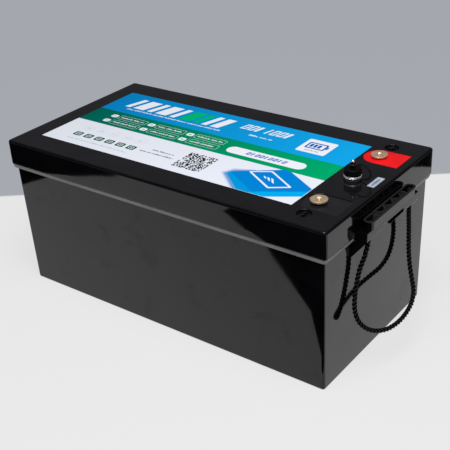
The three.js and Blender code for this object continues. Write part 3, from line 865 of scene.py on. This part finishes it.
def mark_tool(side):
    """The round sunken mark beside a terminal, less the sign that stands in it."""
    centre = (MARK[0], side * MARK[1])
    floor = LID_TOP - 3.0
    points, faces = chamfered_cut(lambda g: circle(MARK_RADIUS + g, 48, centre), floor)
    indices = [ON_TOP if len(face) > 4 else IN_RECESS for face in faces]
    disc = mesh_piece("tool", points, faces, MOULDING, indices, weighted=False)
    half, reach = 1.1, 5.5
    arms = [(half, reach), (reach, half)] if side > 0 else [(half, reach)]
    signs = []
    for half_x, half_y in arms:
        shape = [(0.35, floor - 1), (0.15, floor), (0.0, LID_TOP + 4)]
        rings = [level(rounded(half_x + g, half_y + g, 0.4, 3, centre), z) for g, z in shape]
        signs.append(tool(loft(rings), MOULDING, IN_RECESS))
    boolean(disc, signs, "DIFFERENCE")
    disc.modifiers.clear()
    return disc


def lid_shape():
    """The lid's cap: its inner step, the seam's slope, the skirt and the rounded top edge."""
    edge, corner = 3.5, 5.0
    inner = (TONGUE[0] + 0.3, TONGUE[1] + 0.3, TONGUE[2])
    rings = [box_ring(inner, 0, LID_TOP - 5.0, 10), box_ring(inner, 0, RIM, 10)]
    for inset, z, radius in (
        (3.0, RIM, 3.0),
        (2.6, RIM + 0.1, 3.2),
        (2.3, RIM + 0.5, 3.4),
        (0.9, SKIRT - 1.2, 4.3),
        (0.8, SKIRT - 0.9, 4.4),
        (1.0, SKIRT - 0.6, 4.2),
        (1.0, SKIRT - 0.3, 4.2),
        (0.3, SKIRT + 0.1, 4.8),
        (0.0, SKIRT + 0.8, corner),
        (0.0, 200.0, corner),
        (0.0, 212.0, corner),
    ):
        rings.append(box_ring((LID_HALF_X, LID_HALF_Y, radius), inset, z, 10))
    for i in range(9):
        angle = math.pi / 2 * i / 8
        inset = edge * (1 - math.cos(angle))
        z = LID_TOP - edge + edge * math.sin(angle)
        rings.append(box_ring((LID_HALF_X, LID_HALF_Y, corner - inset), inset, z, 10))
    points, faces = loft(rings)
    indices = []
    for face in faces:
        lowest = min(points[i][2] for i in face)
        middle_z = sum(points[i][2] for i in face) / len(face)
        outside = max(abs(points[i][0]) for i in face) > TONGUE[0] + 1 or len(face) > 4
        # the slope between the rim and the skirt gets the painted reflection
        if outside and RIM < middle_z < SKIRT - 1.0:
            indices.append(ON_SEAM)
        elif outside and lowest > LID_TOP - 0.6:
            indices.append(ON_TOP)
        elif outside and lowest > LID_TOP - edge - 0.1:
            indices.append(ON_EDGE)
        else:
            indices.append(ON_SIDES)
    return mesh_piece("lid_shell", points, faces, MOULDING, indices)


def lid():
    piece = lid_shape()
    boolean(piece, [ledge_body(1), ledge_body(-1)], "UNION")
    centre, half = plan("label")

    def label_outline(grow):
        half_x, half_y = (h + FIT_GAP + grow for h in half)
        return rounded(half_x, half_y, 1.2 + grow, 4, centre)

    cuts = [tool(chamfered_cut(label_outline, LID_TOP - 0.4), MOULDING, ON_TOP)]
    for side in (-1, 1):
        cuts.append(patch_tool(side))
        bore = circle(TERMINAL_BORE, 40, (TERMINAL.x, side * TERMINAL.y))
        cuts.append(tool(prism(bore, *PLATE), MOULDING, IN_RECESS))
    cuts.append(tool(prism(circle(SOCKET_BORE, 40, SOCKET), *PLATE), MOULDING, IN_RECESS))
    boolean(piece, cuts, "DIFFERENCE")
    for side in (-1, 1):
        boolean(piece, [mark_tool(side)], "DIFFERENCE")
    declare(piece, "lid_shell", "case", "lid")


container()
lid()


# ---------------------------------------------------------------- print on the lid


SUNK = 0.05  # how deep print reaches into the film
RISE = 0.03  # how far it stands proud of it
OVER = 0.06  # the same for print over print


class Ink:
    """One colour of print, gathered as thin closed shapes sunk into the film."""

    made = []

    def __init__(self, name, material):
        self.name = name
        self.material = material
        self.parts = []
        Ink.made.append(self)

    def shape(self, outline, rise=RISE):
        film = highs("label").z
        self.parts.append(prism(outline, film - SUNK, film + rise))

    def ring(self, outer, inner, rise=RISE):
        film = highs("label").z
        bottom, top = film - SUNK, film + rise
        rings = [level(outer, bottom), level(outer, top), level(inner, top), level(inner, bottom)]
        self.parts.append(loft(rings, closed=True))

    def bar(self, x0, x1, y0, y1, slant=0.0, rise=RISE):
        shift = slant * (y1 - y0)
        self.shape([(x0, y0), (x1, y0), (x1 + shift, y1), (x0 + shift, y1)], rise)

    def words(self, x0, x1, y, height, seed, slant=0.2, word=(4, 9)):
        """A row of small marks, grouped like words, that spells nothing."""
        dice = random.Random(seed)
        x = x0
        while x < x1:
            for _ in range(dice.randint(*word)):
                wide = height * dice.uniform(0.35, 0.6)
                tall = height * dice.choice((0.6, 0.75, 1.0))
                if x + wide > x1:
                    break
                self.bar(x, x + wide, y, y + tall, slant)
                x += wide + height * 0.22
            x += height * 0.6

    def build(self):
        points, faces = merged(self.parts)
        piece = mesh_piece(self.name, points, faces, [self.material], weighted=False)
        declare(piece, "printed_film", "case")


white = Ink("print_white", WHITE_INK)
green = Ink("print_green", GREEN_INK)
deep = Ink("print_dark_green", DARK_GREEN_INK)
blue = Ink("print_blue", BLUE_INK)
bright = Ink("print_bright_blue", BRIGHT_INK)
cyan = Ink("print_cyan", CYAN_INK)
dark = Ink("print_dark", DARK_INK)
grey = Ink("print_grey", GREY_INK)
side_blue = Ink("print_blue_side", SIDE_INK)
hazes = {step: Ink(f"print_haze_{step}", HAZE[step - 1]) for step in (3, 2, 1)}


def label():
    """The film, in three bands: white at the front, then green, then blue."""
    low, high = lows("label"), highs("label")
    green_front, green_back = -22.3, 25.0
    points, faces, indices = [], [], []
    for y in (low.y, green_front, green_back, high.y):
        points += [(low.x, y, low.z), (high.x, y, low.z), (high.x, y, high.z), (low.x, y, high.z)]
    for band in range(3):
        a, b = band * 4, band * 4 + 4
        faces += [(a, b, b + 1, a + 1), (a + 3, a + 2, b + 2, b + 3)]
        faces += [(a, a + 3, b + 3, b), (a + 1, b + 1, b + 2, a + 2)]
        indices += [2 - band] * 4
    faces += [(0, 1, 2, 3), (12, 15, 14, 13)]
    indices += [2, 0]
    films = [BLUE_FILM, GREEN_FILM, WHITE_FILM]
    piece = mesh_piece("label_film", points, faces, films, indices, weighted=False)
    declare(piece, "printed_film", "case", "label")


def stripes():
    """A row of slanted stripes across the blue band, with a green pair."""
    low, high, slant = 47, 81, 0.3
    for x0, x1 in ((-201, -192), (-185, -165), (-158, -149), (-142, -122), (-115, -106)):
        white.bar(x0, x1, low, high, slant)
    for x0, x1 in ((-98, -78), (-72, -63)):
        green.bar(x0, x1, low, high, slant)
    for x0, x1 in ((-56, -47), (-40, -26)):
        white.bar(x0, x1, low, high, slant)
    white.words(-191, -16, 39.2, 3.4, 3)


def blocks():
    """Small slanted blocks beside the stripes, some of them open."""
    low, high, slant = 62.5, 79.5, 0.3
    shift = slant * (high - low)
    for i, x in enumerate((1, 12.5, 24, 41, 49, 60.5, 72)):
        wide = 5 if i == 3 else 9
        if i in (2, 3, 6):
            white.bar(x, x + wide * 0.55, low, high, slant)
        else:
            outer = [(x, low), (x + wide, low), (x + wide + shift, high), (x + shift, high)]
            inner = [(x + 3.1, 65), (x + wide - 2.2, 65), (x + wide + 2.1, 77), (x + 7.4, 77)]
            white.ring(outer, inner)
    white.words(27, 66, 47, 4.2, 5, slant, (4, 5))


def cell_sign():
    """A white square with a cell in it."""
    white.shape(rounded(22, 20.5, 3, 5, (130, 59)))
    middle = (128.5, 61)
    blue.ring(rounded(14.5, 9.5, 2.2, 4, middle), rounded(11.9, 6.9, 1.0, 4, middle), OVER)
    blue.bar(143.2, 146, 57, 65, 0, OVER)
    for x in (118.6, 124.6, 130.6):
        blue.bar(x, x + 4.4, 56.2, 65.8, 0, OVER)
    blue.words(119, 141, 44.5, 2.2, 8)


def capsule():
    """A white capsule with a row of open and solid marks."""
    white.shape(rounded(61, 9.8, 9.6, 10, (90, -2.5)))
    for i in range(9):
        x = 60 + 7 * i
        outer = [(x, -6.5), (x + 5.2, -6.5), (x + 7.3, 1.5), (x + 2.1, 1.5)]
        inner = [(x + 2.2, -4.8), (x + 3.8, -4.8), (x + 5, -0.2), (x + 3.5, -0.2)]
        if i % 3 == 1:
            blue.bar(x + 0.6, x + 3.0, -6.5, 1.5, 0.27, OVER)
        else:
            blue.ring(outer, inner, OVER)


def tags():
    """Six tags on the green band, each with an outlined box."""
    for column in range(3):
        for row in range(2):
            x, y = -186.5 + 71 * column, 9.5 - 18 * row
            white.shape(rounded(5.6, 4.6, 2.6, 4, (x, y)))
            centre, half = (x + 35, y), 26
            outer = rounded(half, 6.6, 3.0, 4, centre)
            white.ring(outer, rounded(half - 0.45, 6.15, 2.6, 4, centre))
            white.words(x + 13, x + 56, y - 1.4, 3.4, 20 + 2 * column + row)
            green.bar(x - 2.6, x + 2.2, y - 1.4, y + 1.0, 0.2, OVER)


def small_signs():
    """Two rows of small signs and fine lines of marks on the white band."""
    for i in range(6):
        centre = (-187 + 20 * i, -66)
        deep.shape(rounded(7.2, 5.8, 2.2, 5, centre))
        white.ring(rounded(4.2, 3.2, 1.4, 4, centre), rounded(3.2, 2.2, 0.8, 4, centre), OVER)
        white.bar(centre[0] - 1.4, centre[0] + 1.4, -66.6, -65.4, 0.3, OVER)
    hexagon = [(-9, 0), (-5, 6), (5, 6), (9, 0), (5, -6), (-5, -6)]
    for i in range(5):
        x, y = -186 + 24.3 * i, -44
        outer, inner = ([(x + dx * k, y + dy * k) for dx, dy in hexagon] for k in (1, 0.965))
        grey.ring(outer, inner)
        grey.words(x - 4, x + 4, -45.5, 3.0, 40 + i, word=(2, 3))
    grey.words(-193, -83, -83, 2.6, 50)
    dark.words(-56, -18, -58, 2.9, 51)
    dark.words(-71, -13, -67.5, 2.9, 52)


def pixel_square():
    """A square of scattered pixels."""
    dice = random.Random(11)
    count, size = 23, 45.0 / 23
    for row in range(count):
        column = 0
        while column < count:
            if dice.random() < 0.6:
                run = min(dice.choice((1, 1, 2, 3)), count - column)
                x, y = -4 + column * size, -82 + row * size
                dark.bar(x, x + run * size, y, y + size)
                column += run + 1
            else:
                column += 1


def slab():
    """A blue slab drawn in perspective at the front right corner, with a soft shadow on its left."""
    right, near = highs("label").x - 0.6, lows("label").y + 0.3
    for step, haze in hazes.items():
        left = [(78 - 1.5 * step, -55 + 2.2 * step), (72.5 - 2.6 * step, -66)]
        foot = [(108 - 2.6 * step, near), (130, near)]
        haze.shape([(100, -42 + 1.2 * step), *left, *foot, (130, -60)], 0.026 - 0.006 * step)
    tip, edge = (131, -92), (right, -57.5)
    bright.shape([(78, -61), (80, -55), (132, -20.5), (143.5, -22.5), (right, -50), edge, tip])
    cyan.shape([tip, edge, (right, -72.6), (156, -93), (150, near), (129, near)], 0.028)
    left = [(80, -55), (75.5, -58), (73.5, -65), (111, near), (129, near), tip, (78.6, -61)]
    side_blue.shape(left, 0.026)
    side_blue.bar(79.5, 80.3, -62.5, -61.5, 0, 0.04)
    frame_outer = [(95, -46.7), (121.3, -31.4), (167.8, -58.7), (142.3, -74.9)]
    frame_inner = [(99.8, -46.7), (121.2, -34.3), (162.6, -58.6), (142.2, -71.4)]
    outer = softened(frame_outer, 3, 4, closed=True)
    white.ring(outer, softened(frame_inner, 2, 4, closed=True), OVER)
    for i in range(3):
        x, y = 122 + 8 * i, -52 - 3.4 * i
        lean, tall = 3.0 + 2.2 * i, 4.1 + 3 * i
        foot = [(x, y), (x + 4.6, y - 2.0)]
        white.shape([*foot, (x + 4.6 - lean, y - 2.0 + tall), (x - lean, y + tall)], OVER)


label()
for draw in (stripes, blocks, cell_sign, capsule, tags, small_signs, pixel_square, slab):
    draw()
for ink in Ink.made:
    ink.build()


def sticker():
    low, high = lows("sticker"), highs("sticker")
    centre, (half_x, half_y) = plan("sticker")
    bottom, top = high.z - SUNK, high.z + RISE
    rings = []
    for inset, z in ((0, low.z), (0, bottom), (0.05, high.z)):
        rings.append(level(rounded(half_x - inset, half_y - inset, 1.2 - inset, 5, centre), z))
    points, faces = loft(rings)
    piece = mesh_piece("sticker_film", points, faces, [STICKER], weighted=False)
    declare(piece, "printed_film", "case", "sticker")
    parts = []
    dice = random.Random(4)
    y = low.y + 4
    while y < high.y - 5:
        long = dice.uniform(1.6, 2.6)
        wide = dice.uniform(1.6, 2.4)
        left, right = centre[0] - wide, centre[0] + wide
        blot = [(left, y), (right, y + 0.3), (right, y + 0.3 + long), (left, y + long)]
        parts.append(prism(blot, bottom, top))
        y += long + 0.9
    points, faces = merged(parts)
    marks = mesh_piece("sticker_marks", points, faces, [STICKER_MARK], weighted=False)
    declare(marks, "printed_film", "case")
    outer, inner = (rounded(half_x - g, half_y - g, 0.8, 5, centre) for g in (0.3, 1.1))
    rings = [level(outer, bottom), level(outer, top), level(inner, top), level(inner, bottom)]
    points, faces = loft(rings, closed=True)
    border = mesh_piece("sticker_border", points, faces, [STICKER_EDGE], weighted=False)
    declare(border, "printed_film", "case")


sticker()


# ---------------------------------------------------------------- terminals


def terminal(name, side):
    """A brass disc on a stud, with a threaded hole."""
    spot = (TERMINAL.x, side * TERMINAL.y)
    brass = turned_metal("brass_" + name, (0.76, 0.56, 0.37), 0.3, spot, metallic=0.55)
    node = name + "_terminal"
    bottom, top = lows(node).z, highs(node).z
    centre, (radius, _) = plan(node)
    under = top - 2.2
    disc = [(0.0, bottom), (6, bottom), (6, under), (radius, under), (radius, top)]
    disc += [(4.9, top), (4.9, top - 0.3), (3.7, top - 1.4)]
    thread = []
    z = top - 1.8
    while z > top - 18:
        thread += [(3.45, z), (3.95, z - 0.6)]
        z -= 1.25
    bore_end = [(3.4, z), (3.4, top - 20), (0.0, top - 20.6)]
    points, faces = lathe(softened(disc, 0.45) + thread + bore_end, centre, 72)
    piece = mesh_piece(node + "_brass", points, faces, [brass])
    declare(piece, "brass", "case", node)


def patch(name, side, material):
    """The coloured inlay round a terminal, cut out for the stud."""
    node = name + "_patch"
    low, high = lows(node), highs(node)
    soft = min(0.2, (high.z - low.z) / 2)
    rings = []
    for grow, z in ((-0.3, low.z), (-0.3, high.z - soft), (-0.36, high.z - soft / 3), (-0.5, high.z)):
        rings.append(level(d_outline(side, grow, 28), z))
    points, faces = loft(rings)
    piece = mesh_piece(name + "_inlay", points, faces, [material])
    bore = circle(TERMINAL_BORE, 48, (TERMINAL.x, side * TERMINAL.y))
    boolean(piece, [tool(prism(bore, 200, 240), [material], 0)], "DIFFERENCE")
    declare(piece, "red_plastic" if side > 0 else "black_plastic", "case", node)


terminal("pos", 1)
terminal("neg", -1)
patch("pos", 1, RED)
patch("neg", -1, BLACK)


# ---------------------------------------------------------------- signal socket and its cap

CHROME = turned_metal("chrome", (0.9, 0.9, 0.92), 0.08, SOCKET, 1400, 0.06, 0.6)
STEEL = turned_metal("bright_steel", (0.62, 0.63, 0.66), 0.2, SOCKET, 1400)


def ridged(count, depth, bottom, top):
    """Vertical ridges round a turned piece between two heights."""

    def shape(angle, radius, z):
        if radius < 5 or not bottom <= z <= top:
            return radius
        return radius - depth * (0.5 - 0.5 * math.cos(count * angle)) ** 0.8

    return shape


def round_piece(node, name, profile, material, slot_name, body, sides=72, closed=False, shape=None):
    points, faces = lathe(profile, SOCKET, sides, closed, shape)
    piece = mesh_piece(name, points, faces, [material], crease=38)
    declare(piece, slot_name, body, node)


def extent(node):
    """Radius of a round node, and its lowest and highest level."""
    return plan(node)[1][0], lows(node).z, highs(node).z


def socket():
    reach, z0, z1 = extent("socket_gasket")
    corners = [(SOCKET_BORE, z0), (reach, z0), (reach, z1), (SOCKET_BORE, z1)]
    washer = softened(corners, 0.5, 3, closed=True)
    round_piece("socket_gasket", "gasket_ring", washer, RUBBER, "seal_rubber", "case", closed=True)

    reach, z0, z1 = extent("socket_ring")
    band = [(SOCKET_BORE, z0), (reach - 0.9, z0), (reach, z0 + 0.5), (reach, z0 + 1.2)]
    band += [(reach - 0.7, z0 + 1.5), (reach, z0 + 1.9), (reach, z1 - 0.4)]
    band += [(reach - 0.8, z1), (SOCKET_BORE, z1)]
    band = softened(band, 0.25, 2, closed=True)
    round_piece("socket_ring", "chrome_ring", band, CHROME, "bright_steel", "case", closed=True)

    _, z0, z1 = extent("socket_body")
    barrel = [(6.5, z0), (7.9, z0)]
    z = z0 + 1
    while z < z1 - 1.2:
        barrel += [(7.9, z), (7.45, z + 0.5)]
        z += 1.0
    barrel += [(7.9, z1 - 0.5), (7.5, z1), (6.6, z1), (6.5, z1 - 0.3)]
    round_piece("socket_body", "socket_barrel", barrel, STEEL, "bright_steel", "case", closed=True)


def dust_cap():
    reach, z0, z1 = extent("cap_shell")
    ceiling = 236.9
    cap = [(SOCKET_BORE, z0), (reach - 0.7, z0), (reach - 0.2, z0 + 0.3), (reach, z0 + 0.8)]
    cap += [(reach, z0 + 1.6), (reach, z1 - 2.4), (reach, z1 - 2.3), (reach, z1 - 1.0)]
    cap += [(reach - 0.35, z1 - 0.35), (reach - 1.0, z1), (4.6, z1), (4.2, z1 - 0.25)]
    cap += [(0, z1 - 0.25), (0, ceiling), (7.7, ceiling), (SOCKET_BORE, ceiling - 0.5)]
    knurl = ridged(48, 0.45, z0 + 1.0, z1 - 2.35)
    round_piece("cap_shell", "cap_knurled", cap, KNURL, "cap_metal", "dust_cap", 192, True, knurl)

    _, z0, z1 = extent("cap_post")
    groove, head = 244.6, 246.4
    post = [(0, z0), (3.4, z0), (3.4, groove), (2.2, groove)]
    post += [(2.2, head), (3.4, head), (3.4, z1), (0, z1)]
    post = softened(post, 0.35)
    round_piece("cap_post", "cap_post_turned", post, KNURL, "black_plastic", "dust_cap", 40)

    _, z0, z1 = extent("cap_screw")
    screw = [(0, z0), (2.5, z0), (2.5, z0 + 1.9), (1.7, z1 - 0.4), (0.9, z1)]
    screw = softened(screw + [(0.85, z1 - 0.9), (0, z1 - 0.9)], 0.35)
    round_piece("cap_screw", "cap_screw_head", screw, STEEL, "bright_steel", "dust_cap", 40)

    _, z0, z1 = extent("lanyard_eye")
    loop = softened([(2.5, z0), (4.6, z0), (4.6, z1), (2.5, z1)], 0.5, 4, closed=True)
    round_piece("lanyard_eye", "lanyard_eye_ring", loop, BLACK, "black_plastic", "lanyard_eye", 40, True)


def lanyard_tab():
    """A washer under the socket's ring, with an ear that holds the lanyard."""
    low, high = lows("lanyard_tab"), highs("lanyard_tab")
    reach, ear_half = 11.2, 2.0
    ear = (high.x - ear_half, 0.0)
    start = math.asin(ear_half / reach)
    outline = []
    for i in range(61):
        outline.append(round_point(SOCKET, reach, start + (2 * math.pi - 2 * start) * i / 60))
    for i in range(9):
        outline.append(round_point(ear, ear_half, -math.pi / 2 + math.pi * i / 8))
    points, faces = prism(outline, low.z, high.z)
    piece = mesh_piece("lanyard_tab_plate", points, faces, [BLACK])
    bore = prism(circle(SOCKET_BORE, 48, SOCKET), 220, 240)
    boolean(piece, [tool(bore, [BLACK], 0)], "DIFFERENCE")
    declare(piece, "black_plastic", "case", "lanyard_tab")


socket()
dust_cap()
lanyard_tab()


# ---------------------------------------------------------------- grips and knots


def grip_channel(end, sign):
    """An oblong channel, open at the top, with a rim and two holes for the rope."""
    node = f"grip_{end}"
    z0, z1 = lows(node).z, highs(node).z
    centre, (half_x, half_y) = plan(node)
    inner = GRIP_LIP + GRIP_WALL
    rings = []
    for inset, z in (
        (GRIP_LIP + 1.0, z0),
        (GRIP_LIP + 0.3, z0 + 0.3),
        (GRIP_LIP, z0 + 1.0),
        (GRIP_LIP, z1 - 2.3),
        (GRIP_LIP - 0.25, z1 - 1.9),
        (0.5, z1 - 1.8),
        (0.12, z1 - 1.6),
        (0.0, z1 - 1.2),
        (0.0, z1 - 0.7),
        (0.2, z1 - 0.2),
        (0.7, z1),
        (inner - 0.6, z1),
        (inner - 0.15, z1 - 0.2),
        (inner, z1 - 0.7),
        (inner, z0 + 2.6),
        (inner + 0.6, z0 + 2.0),
    ):
        x, y = half_x - inset, half_y - inset
        rings.append(level(rounded(x, y, x - 0.02, 12, centre), z))
    points, faces = loft(rings)
    # the rim's faces get the painted highlight
    on_rim = [min(points[i][2] for i in face) > z1 - 0.75 and len(face) == 4 for face in faces]
    indices = [int(rim) for rim in on_rim]
    piece = mesh_piece(f"{node}_channel", points, faces, [GRIP, RIM_HIGHLIGHT], indices)
    holes = []
    for side in (-1, 1):
        hole = circle(3.6, 32, (sign * ROPE_X, side * ROPE_Y))
        holes.append(tool(prism(hole, 190, 200), [GRIP], 0))
    boolean(piece, holes, "DIFFERENCE")
    declare(piece, "black_plastic", node, node)


def grip_ribs(end, sign):
    """The zigzag of ribs across a grip's channel, and a straight rib at each end of it."""
    node = f"grip_{end}"
    z0, z1 = lows(node).z, highs(node).z
    (x, _), (half_x, _) = plan(node)
    reach = half_x - GRIP_LIP - GRIP_WALL + 0.25
    bay, thick = 10, 0.6
    spans = [(-3.5 * bay, -3.5 * bay), (3.5 * bay, 3.5 * bay)]
    for i in range(-3, 3):
        spans.append((i * bay, (i + 1) * bay) if i % 2 else ((i + 1) * bay, i * bay))
    parts = []
    for start, stop in spans:
        y0, y1 = (start, stop) if sign > 0 else (-stop, -start)
        rings = []
        for z, narrow in ((z0 + 1.2, 0.0), (z1 - 1.3, 0.0), (z1 - 1.05, 0.15), (z1 - 1.0, 0.4)):
            t = thick - narrow
            near, far = x - reach, x + reach
            rings.append(level([(near, y0 - t), (far, y1 - t), (far, y1 + t), (near, y0 + t)], z))
        parts.append(loft(rings))
    points, faces = merged(parts)
    # the ribs carry the painted light
    ribs = mesh_piece(f"{node}_ribs", points, faces, [RIB_LIT])
    declare(ribs, "black_plastic", node)


def knot(end, number):
    """A rope end drawn into a ball: the strands turn round it as they rise."""
    node = f"knot_{end}_{number}"
    low, high = lows(node), highs(node)
    centre, (reach, _) = plan(node)
    rings = []
    levels, sides = 26, 48
    for k in range(levels + 1):
        t = k / levels
        rise = 0.5 - 0.5 * math.cos(math.pi * t)
        body = math.sin(math.pi * rise) ** 0.55
        ring = []
        for i in range(sides):
            angle = 2 * math.pi * i / sides
            lobes = 0.9 + 0.1 * math.cos(5 * (angle - 2.4 * t))
            ring.append(round_point(centre, max(0.02, reach * 0.985 * body * lobes), angle))
        rings.append(level(ring, low.z + (high.z - low.z) * rise))
    points, faces = loft(rings)
    piece = mesh_piece(node + "_ball", points, faces, [ROPE], crease=80, weighted=False)
    piece.data.uv_layers.new(name="UVMap")
    declare(piece, "rope", f"grip_{end}", node)


for end, sign in ENDS:
    grip_channel(end, sign)
    grip_ribs(end, sign)
    for number in (1, 2):
        knot(end, number)


# ---------------------------------------------------------------- pieces inside the case


def wire_finish(name, color):
    finish = Finish(name, color, 0.42)
    pale = tuple(c * 1.4 for c in color)
    finish.set_color(finish.ramp(finish.noise(60, 3), [(0.3, color), (0.8, pale)]))
    finish.bump(finish.noise(1200, 2), 0.15, 0.0002)
    return finish.material


def board_finish():
    """Green solder mask with pale traces."""
    finish = Finish("circuit_board", (0.01, 0.12, 0.04), 0.3)
    grid = finish.cells(260, randomness=0.0)
    edges = finish.cells(90, feature="DISTANCE_TO_EDGE", randomness=0.6)
    traces = finish.span(edges, 0.02, 0.05)
    mask = finish.mix(traces, (0.03, 0.3, 0.09), (0.008, 0.11, 0.035))
    finish.set_color(finish.mix(finish.span(grid, 0.1, 0.14), (0.6, 0.5, 0.3), mask))
    finish.bump(traces, 0.2, 0.0002)
    return finish.material


CELL_CAN = plain_finish("cell_can", (0.02, 0.13, 0.42), 0.38, 90, 0.1)
COPPER = turned_metal("copper_link", (0.82, 0.42, 0.25), 0.25, (0, 0), 500)
FOAM = plain_finish("foam_pad", (0.04, 0.042, 0.045), 0.9, 500, 0.6)
SHEET = plain_finish("insulating_sheet", (0.36, 0.42, 0.24), 0.55, 120, 0.2)
BOARD = board_finish()
HEATSINK = plain_finish("heatsink_alloy", (0.55, 0.56, 0.58), 0.35, 300, 0.25, 1.0)
RED_WIRE = wire_finish("red_wire", (0.55, 0.015, 0.015))
BLACK_WIRE = wire_finish("black_wire", (0.012, 0.012, 0.013))

INNER = (
    ("cell_cover", SHEET),
    ("cell_neg_lead", BLACK_WIRE),
    ("cell_", CELL_CAN),
    ("link_", COPPER),
    ("base_pad", FOAM),
    ("lid_seal", RUBBER),
    ("bms_board", BOARD),
    ("bms_heatsink", HEATSINK),
    ("pos_lead", RED_WIRE),
    ("out_neg_lead", BLACK_WIRE),
    ("signal_lead", BLACK_WIRE),
    ("pos_nut", STEEL),
    ("neg_nut", STEEL),
    ("socket_insert", BLACK),
)
for name, node in frame["nodes"].items():
    for start, material in INNER:
        if name.startswith(start):
            node.data.materials.clear()
            node.data.materials.append(material)
            break


# ---------------------------------------------------------------- floor and light


def flat_finish(name, color, glow):
    """A matt surface that glows a little, so that the shadows on it stay faint."""
    finish = Finish(name, color, 0.9)
    finish.shader.inputs["Specular IOR Level"].default_value = 0.0
    finish.shader.inputs["Emission Color"].default_value = (*color, 1.0)
    finish.shader.inputs["Emission Strength"].default_value = glow
    return finish


def stage_sheet(name, outline, height, material):
    face = tuple(range(len(outline)))
    piece = mesh_piece(name, level(outline, height), [face], [material], weighted=False)
    return piece


FLOOR_TONE = (0.665, 0.665, 0.665)
BACK_TONE = (0.36, 0.376, 0.41)
BACK_LINE = ((-525.0, 24.0), (130.0, 518.0))  # two points on the line where the floor turns grey
FLOOR_REACH = 9000


def floor():
    """A pale floor that turns grey behind the pack."""
    finish = flat_finish("floor", FLOOR_TONE, 1.0)
    (x0, y0), (x1, y1) = BACK_LINE
    length = math.hypot(x1 - x0, y1 - y0)
    across = ((y0 - y1) / length, (x1 - x0) / length)
    node = finish.nodes.new("ShaderNodeVectorMath")
    node.operation = "DOT_PRODUCT"
    node.inputs[1].default_value = (across[0], across[1], 0.0)
    finish.link(finish.place, node.inputs[0])
    offset = (across[0] * x0 + across[1] * y0) * MM
    share = finish.span(node.outputs["Value"], offset - 0.003, offset + 0.003)
    finish.set_color(finish.mix(share, (0.16, 0.16, 0.16), (0.03, 0.03, 0.03)))
    tone = finish.mix(share, FLOOR_TONE, BACK_TONE)
    finish.link(tone, finish.shader.inputs["Emission Color"])
    corners = [(x * FLOOR_REACH, y * FLOOR_REACH) for x, y in ((-1, -1), (1, -1), (1, 1), (-1, 1))]
    stage_sheet("floor", corners, -0.3, finish.material)


def dark_card(name, outline):
    """A dark sheet that shows only in reflections, as an unlit part of the studio."""
    finish = flat_finish(name, (0.002, 0.002, 0.003), 0.0)
    sheet = stage_sheet(name, outline, 0.4, finish.material)
    sheet.visible_camera = False
    sheet.visible_diffuse = False
    sheet.visible_shadow = False
    sheet.visible_transmission = False


floor()
# The near edges of the sheets are where the reflections in the walls turn dark
LEFT_NEAR = [(-510, -330), (-470, -420), (-400, -465)]
dark_card("card_left", LEFT_NEAR + [(-420, -900), (-1600, -900), (-1600, -200), (-540, -250)])
FRONT_NEAR = [(-140, -460), (-50, -415), (20, -355), (150, -260), (230, -165), (300, -140)]
dark_card("card_front", FRONT_NEAR + [(600, -160), (900, -500), (900, -1500), (-200, -1500)])
RIGHT_NEAR = [(460, 510), (435, 520), (465, 590)]
dark_card("card_right", RIGHT_NEAR + [(520, 1500), (2000, 1500), (2000, 300)])

bpy.context.scene.view_settings.view_transform = "Standard"
world = bpy.data.worlds.new("studio")
world.use_nodes = True
bpy.context.scene.world = world
background = world.node_tree.nodes["Background"]
background.inputs["Color"].default_value = (0.37, 0.38, 0.42, 1.0)
background.inputs["Strength"].default_value = 0.27


def soft_light(name, place, aim_at, size, power):
    data = bpy.data.lights.new(name, "AREA")
    data.shape = "RECTANGLE"
    data.size = size
    data.size_y = size
    data.energy = power
    light = bpy.data.objects.new(name, data)
    light.location = place
    light.rotation_mode = "QUATERNION"
    light.rotation_quaternion = (Vector(aim_at) - Vector(place)).to_track_quat("-Z", "Y")
    bpy.context.scene.collection.objects.link(light)


soft_light("overhead", (0.5, -0.6, 2.0), (0, 0, 0.2), 1.4, 46)
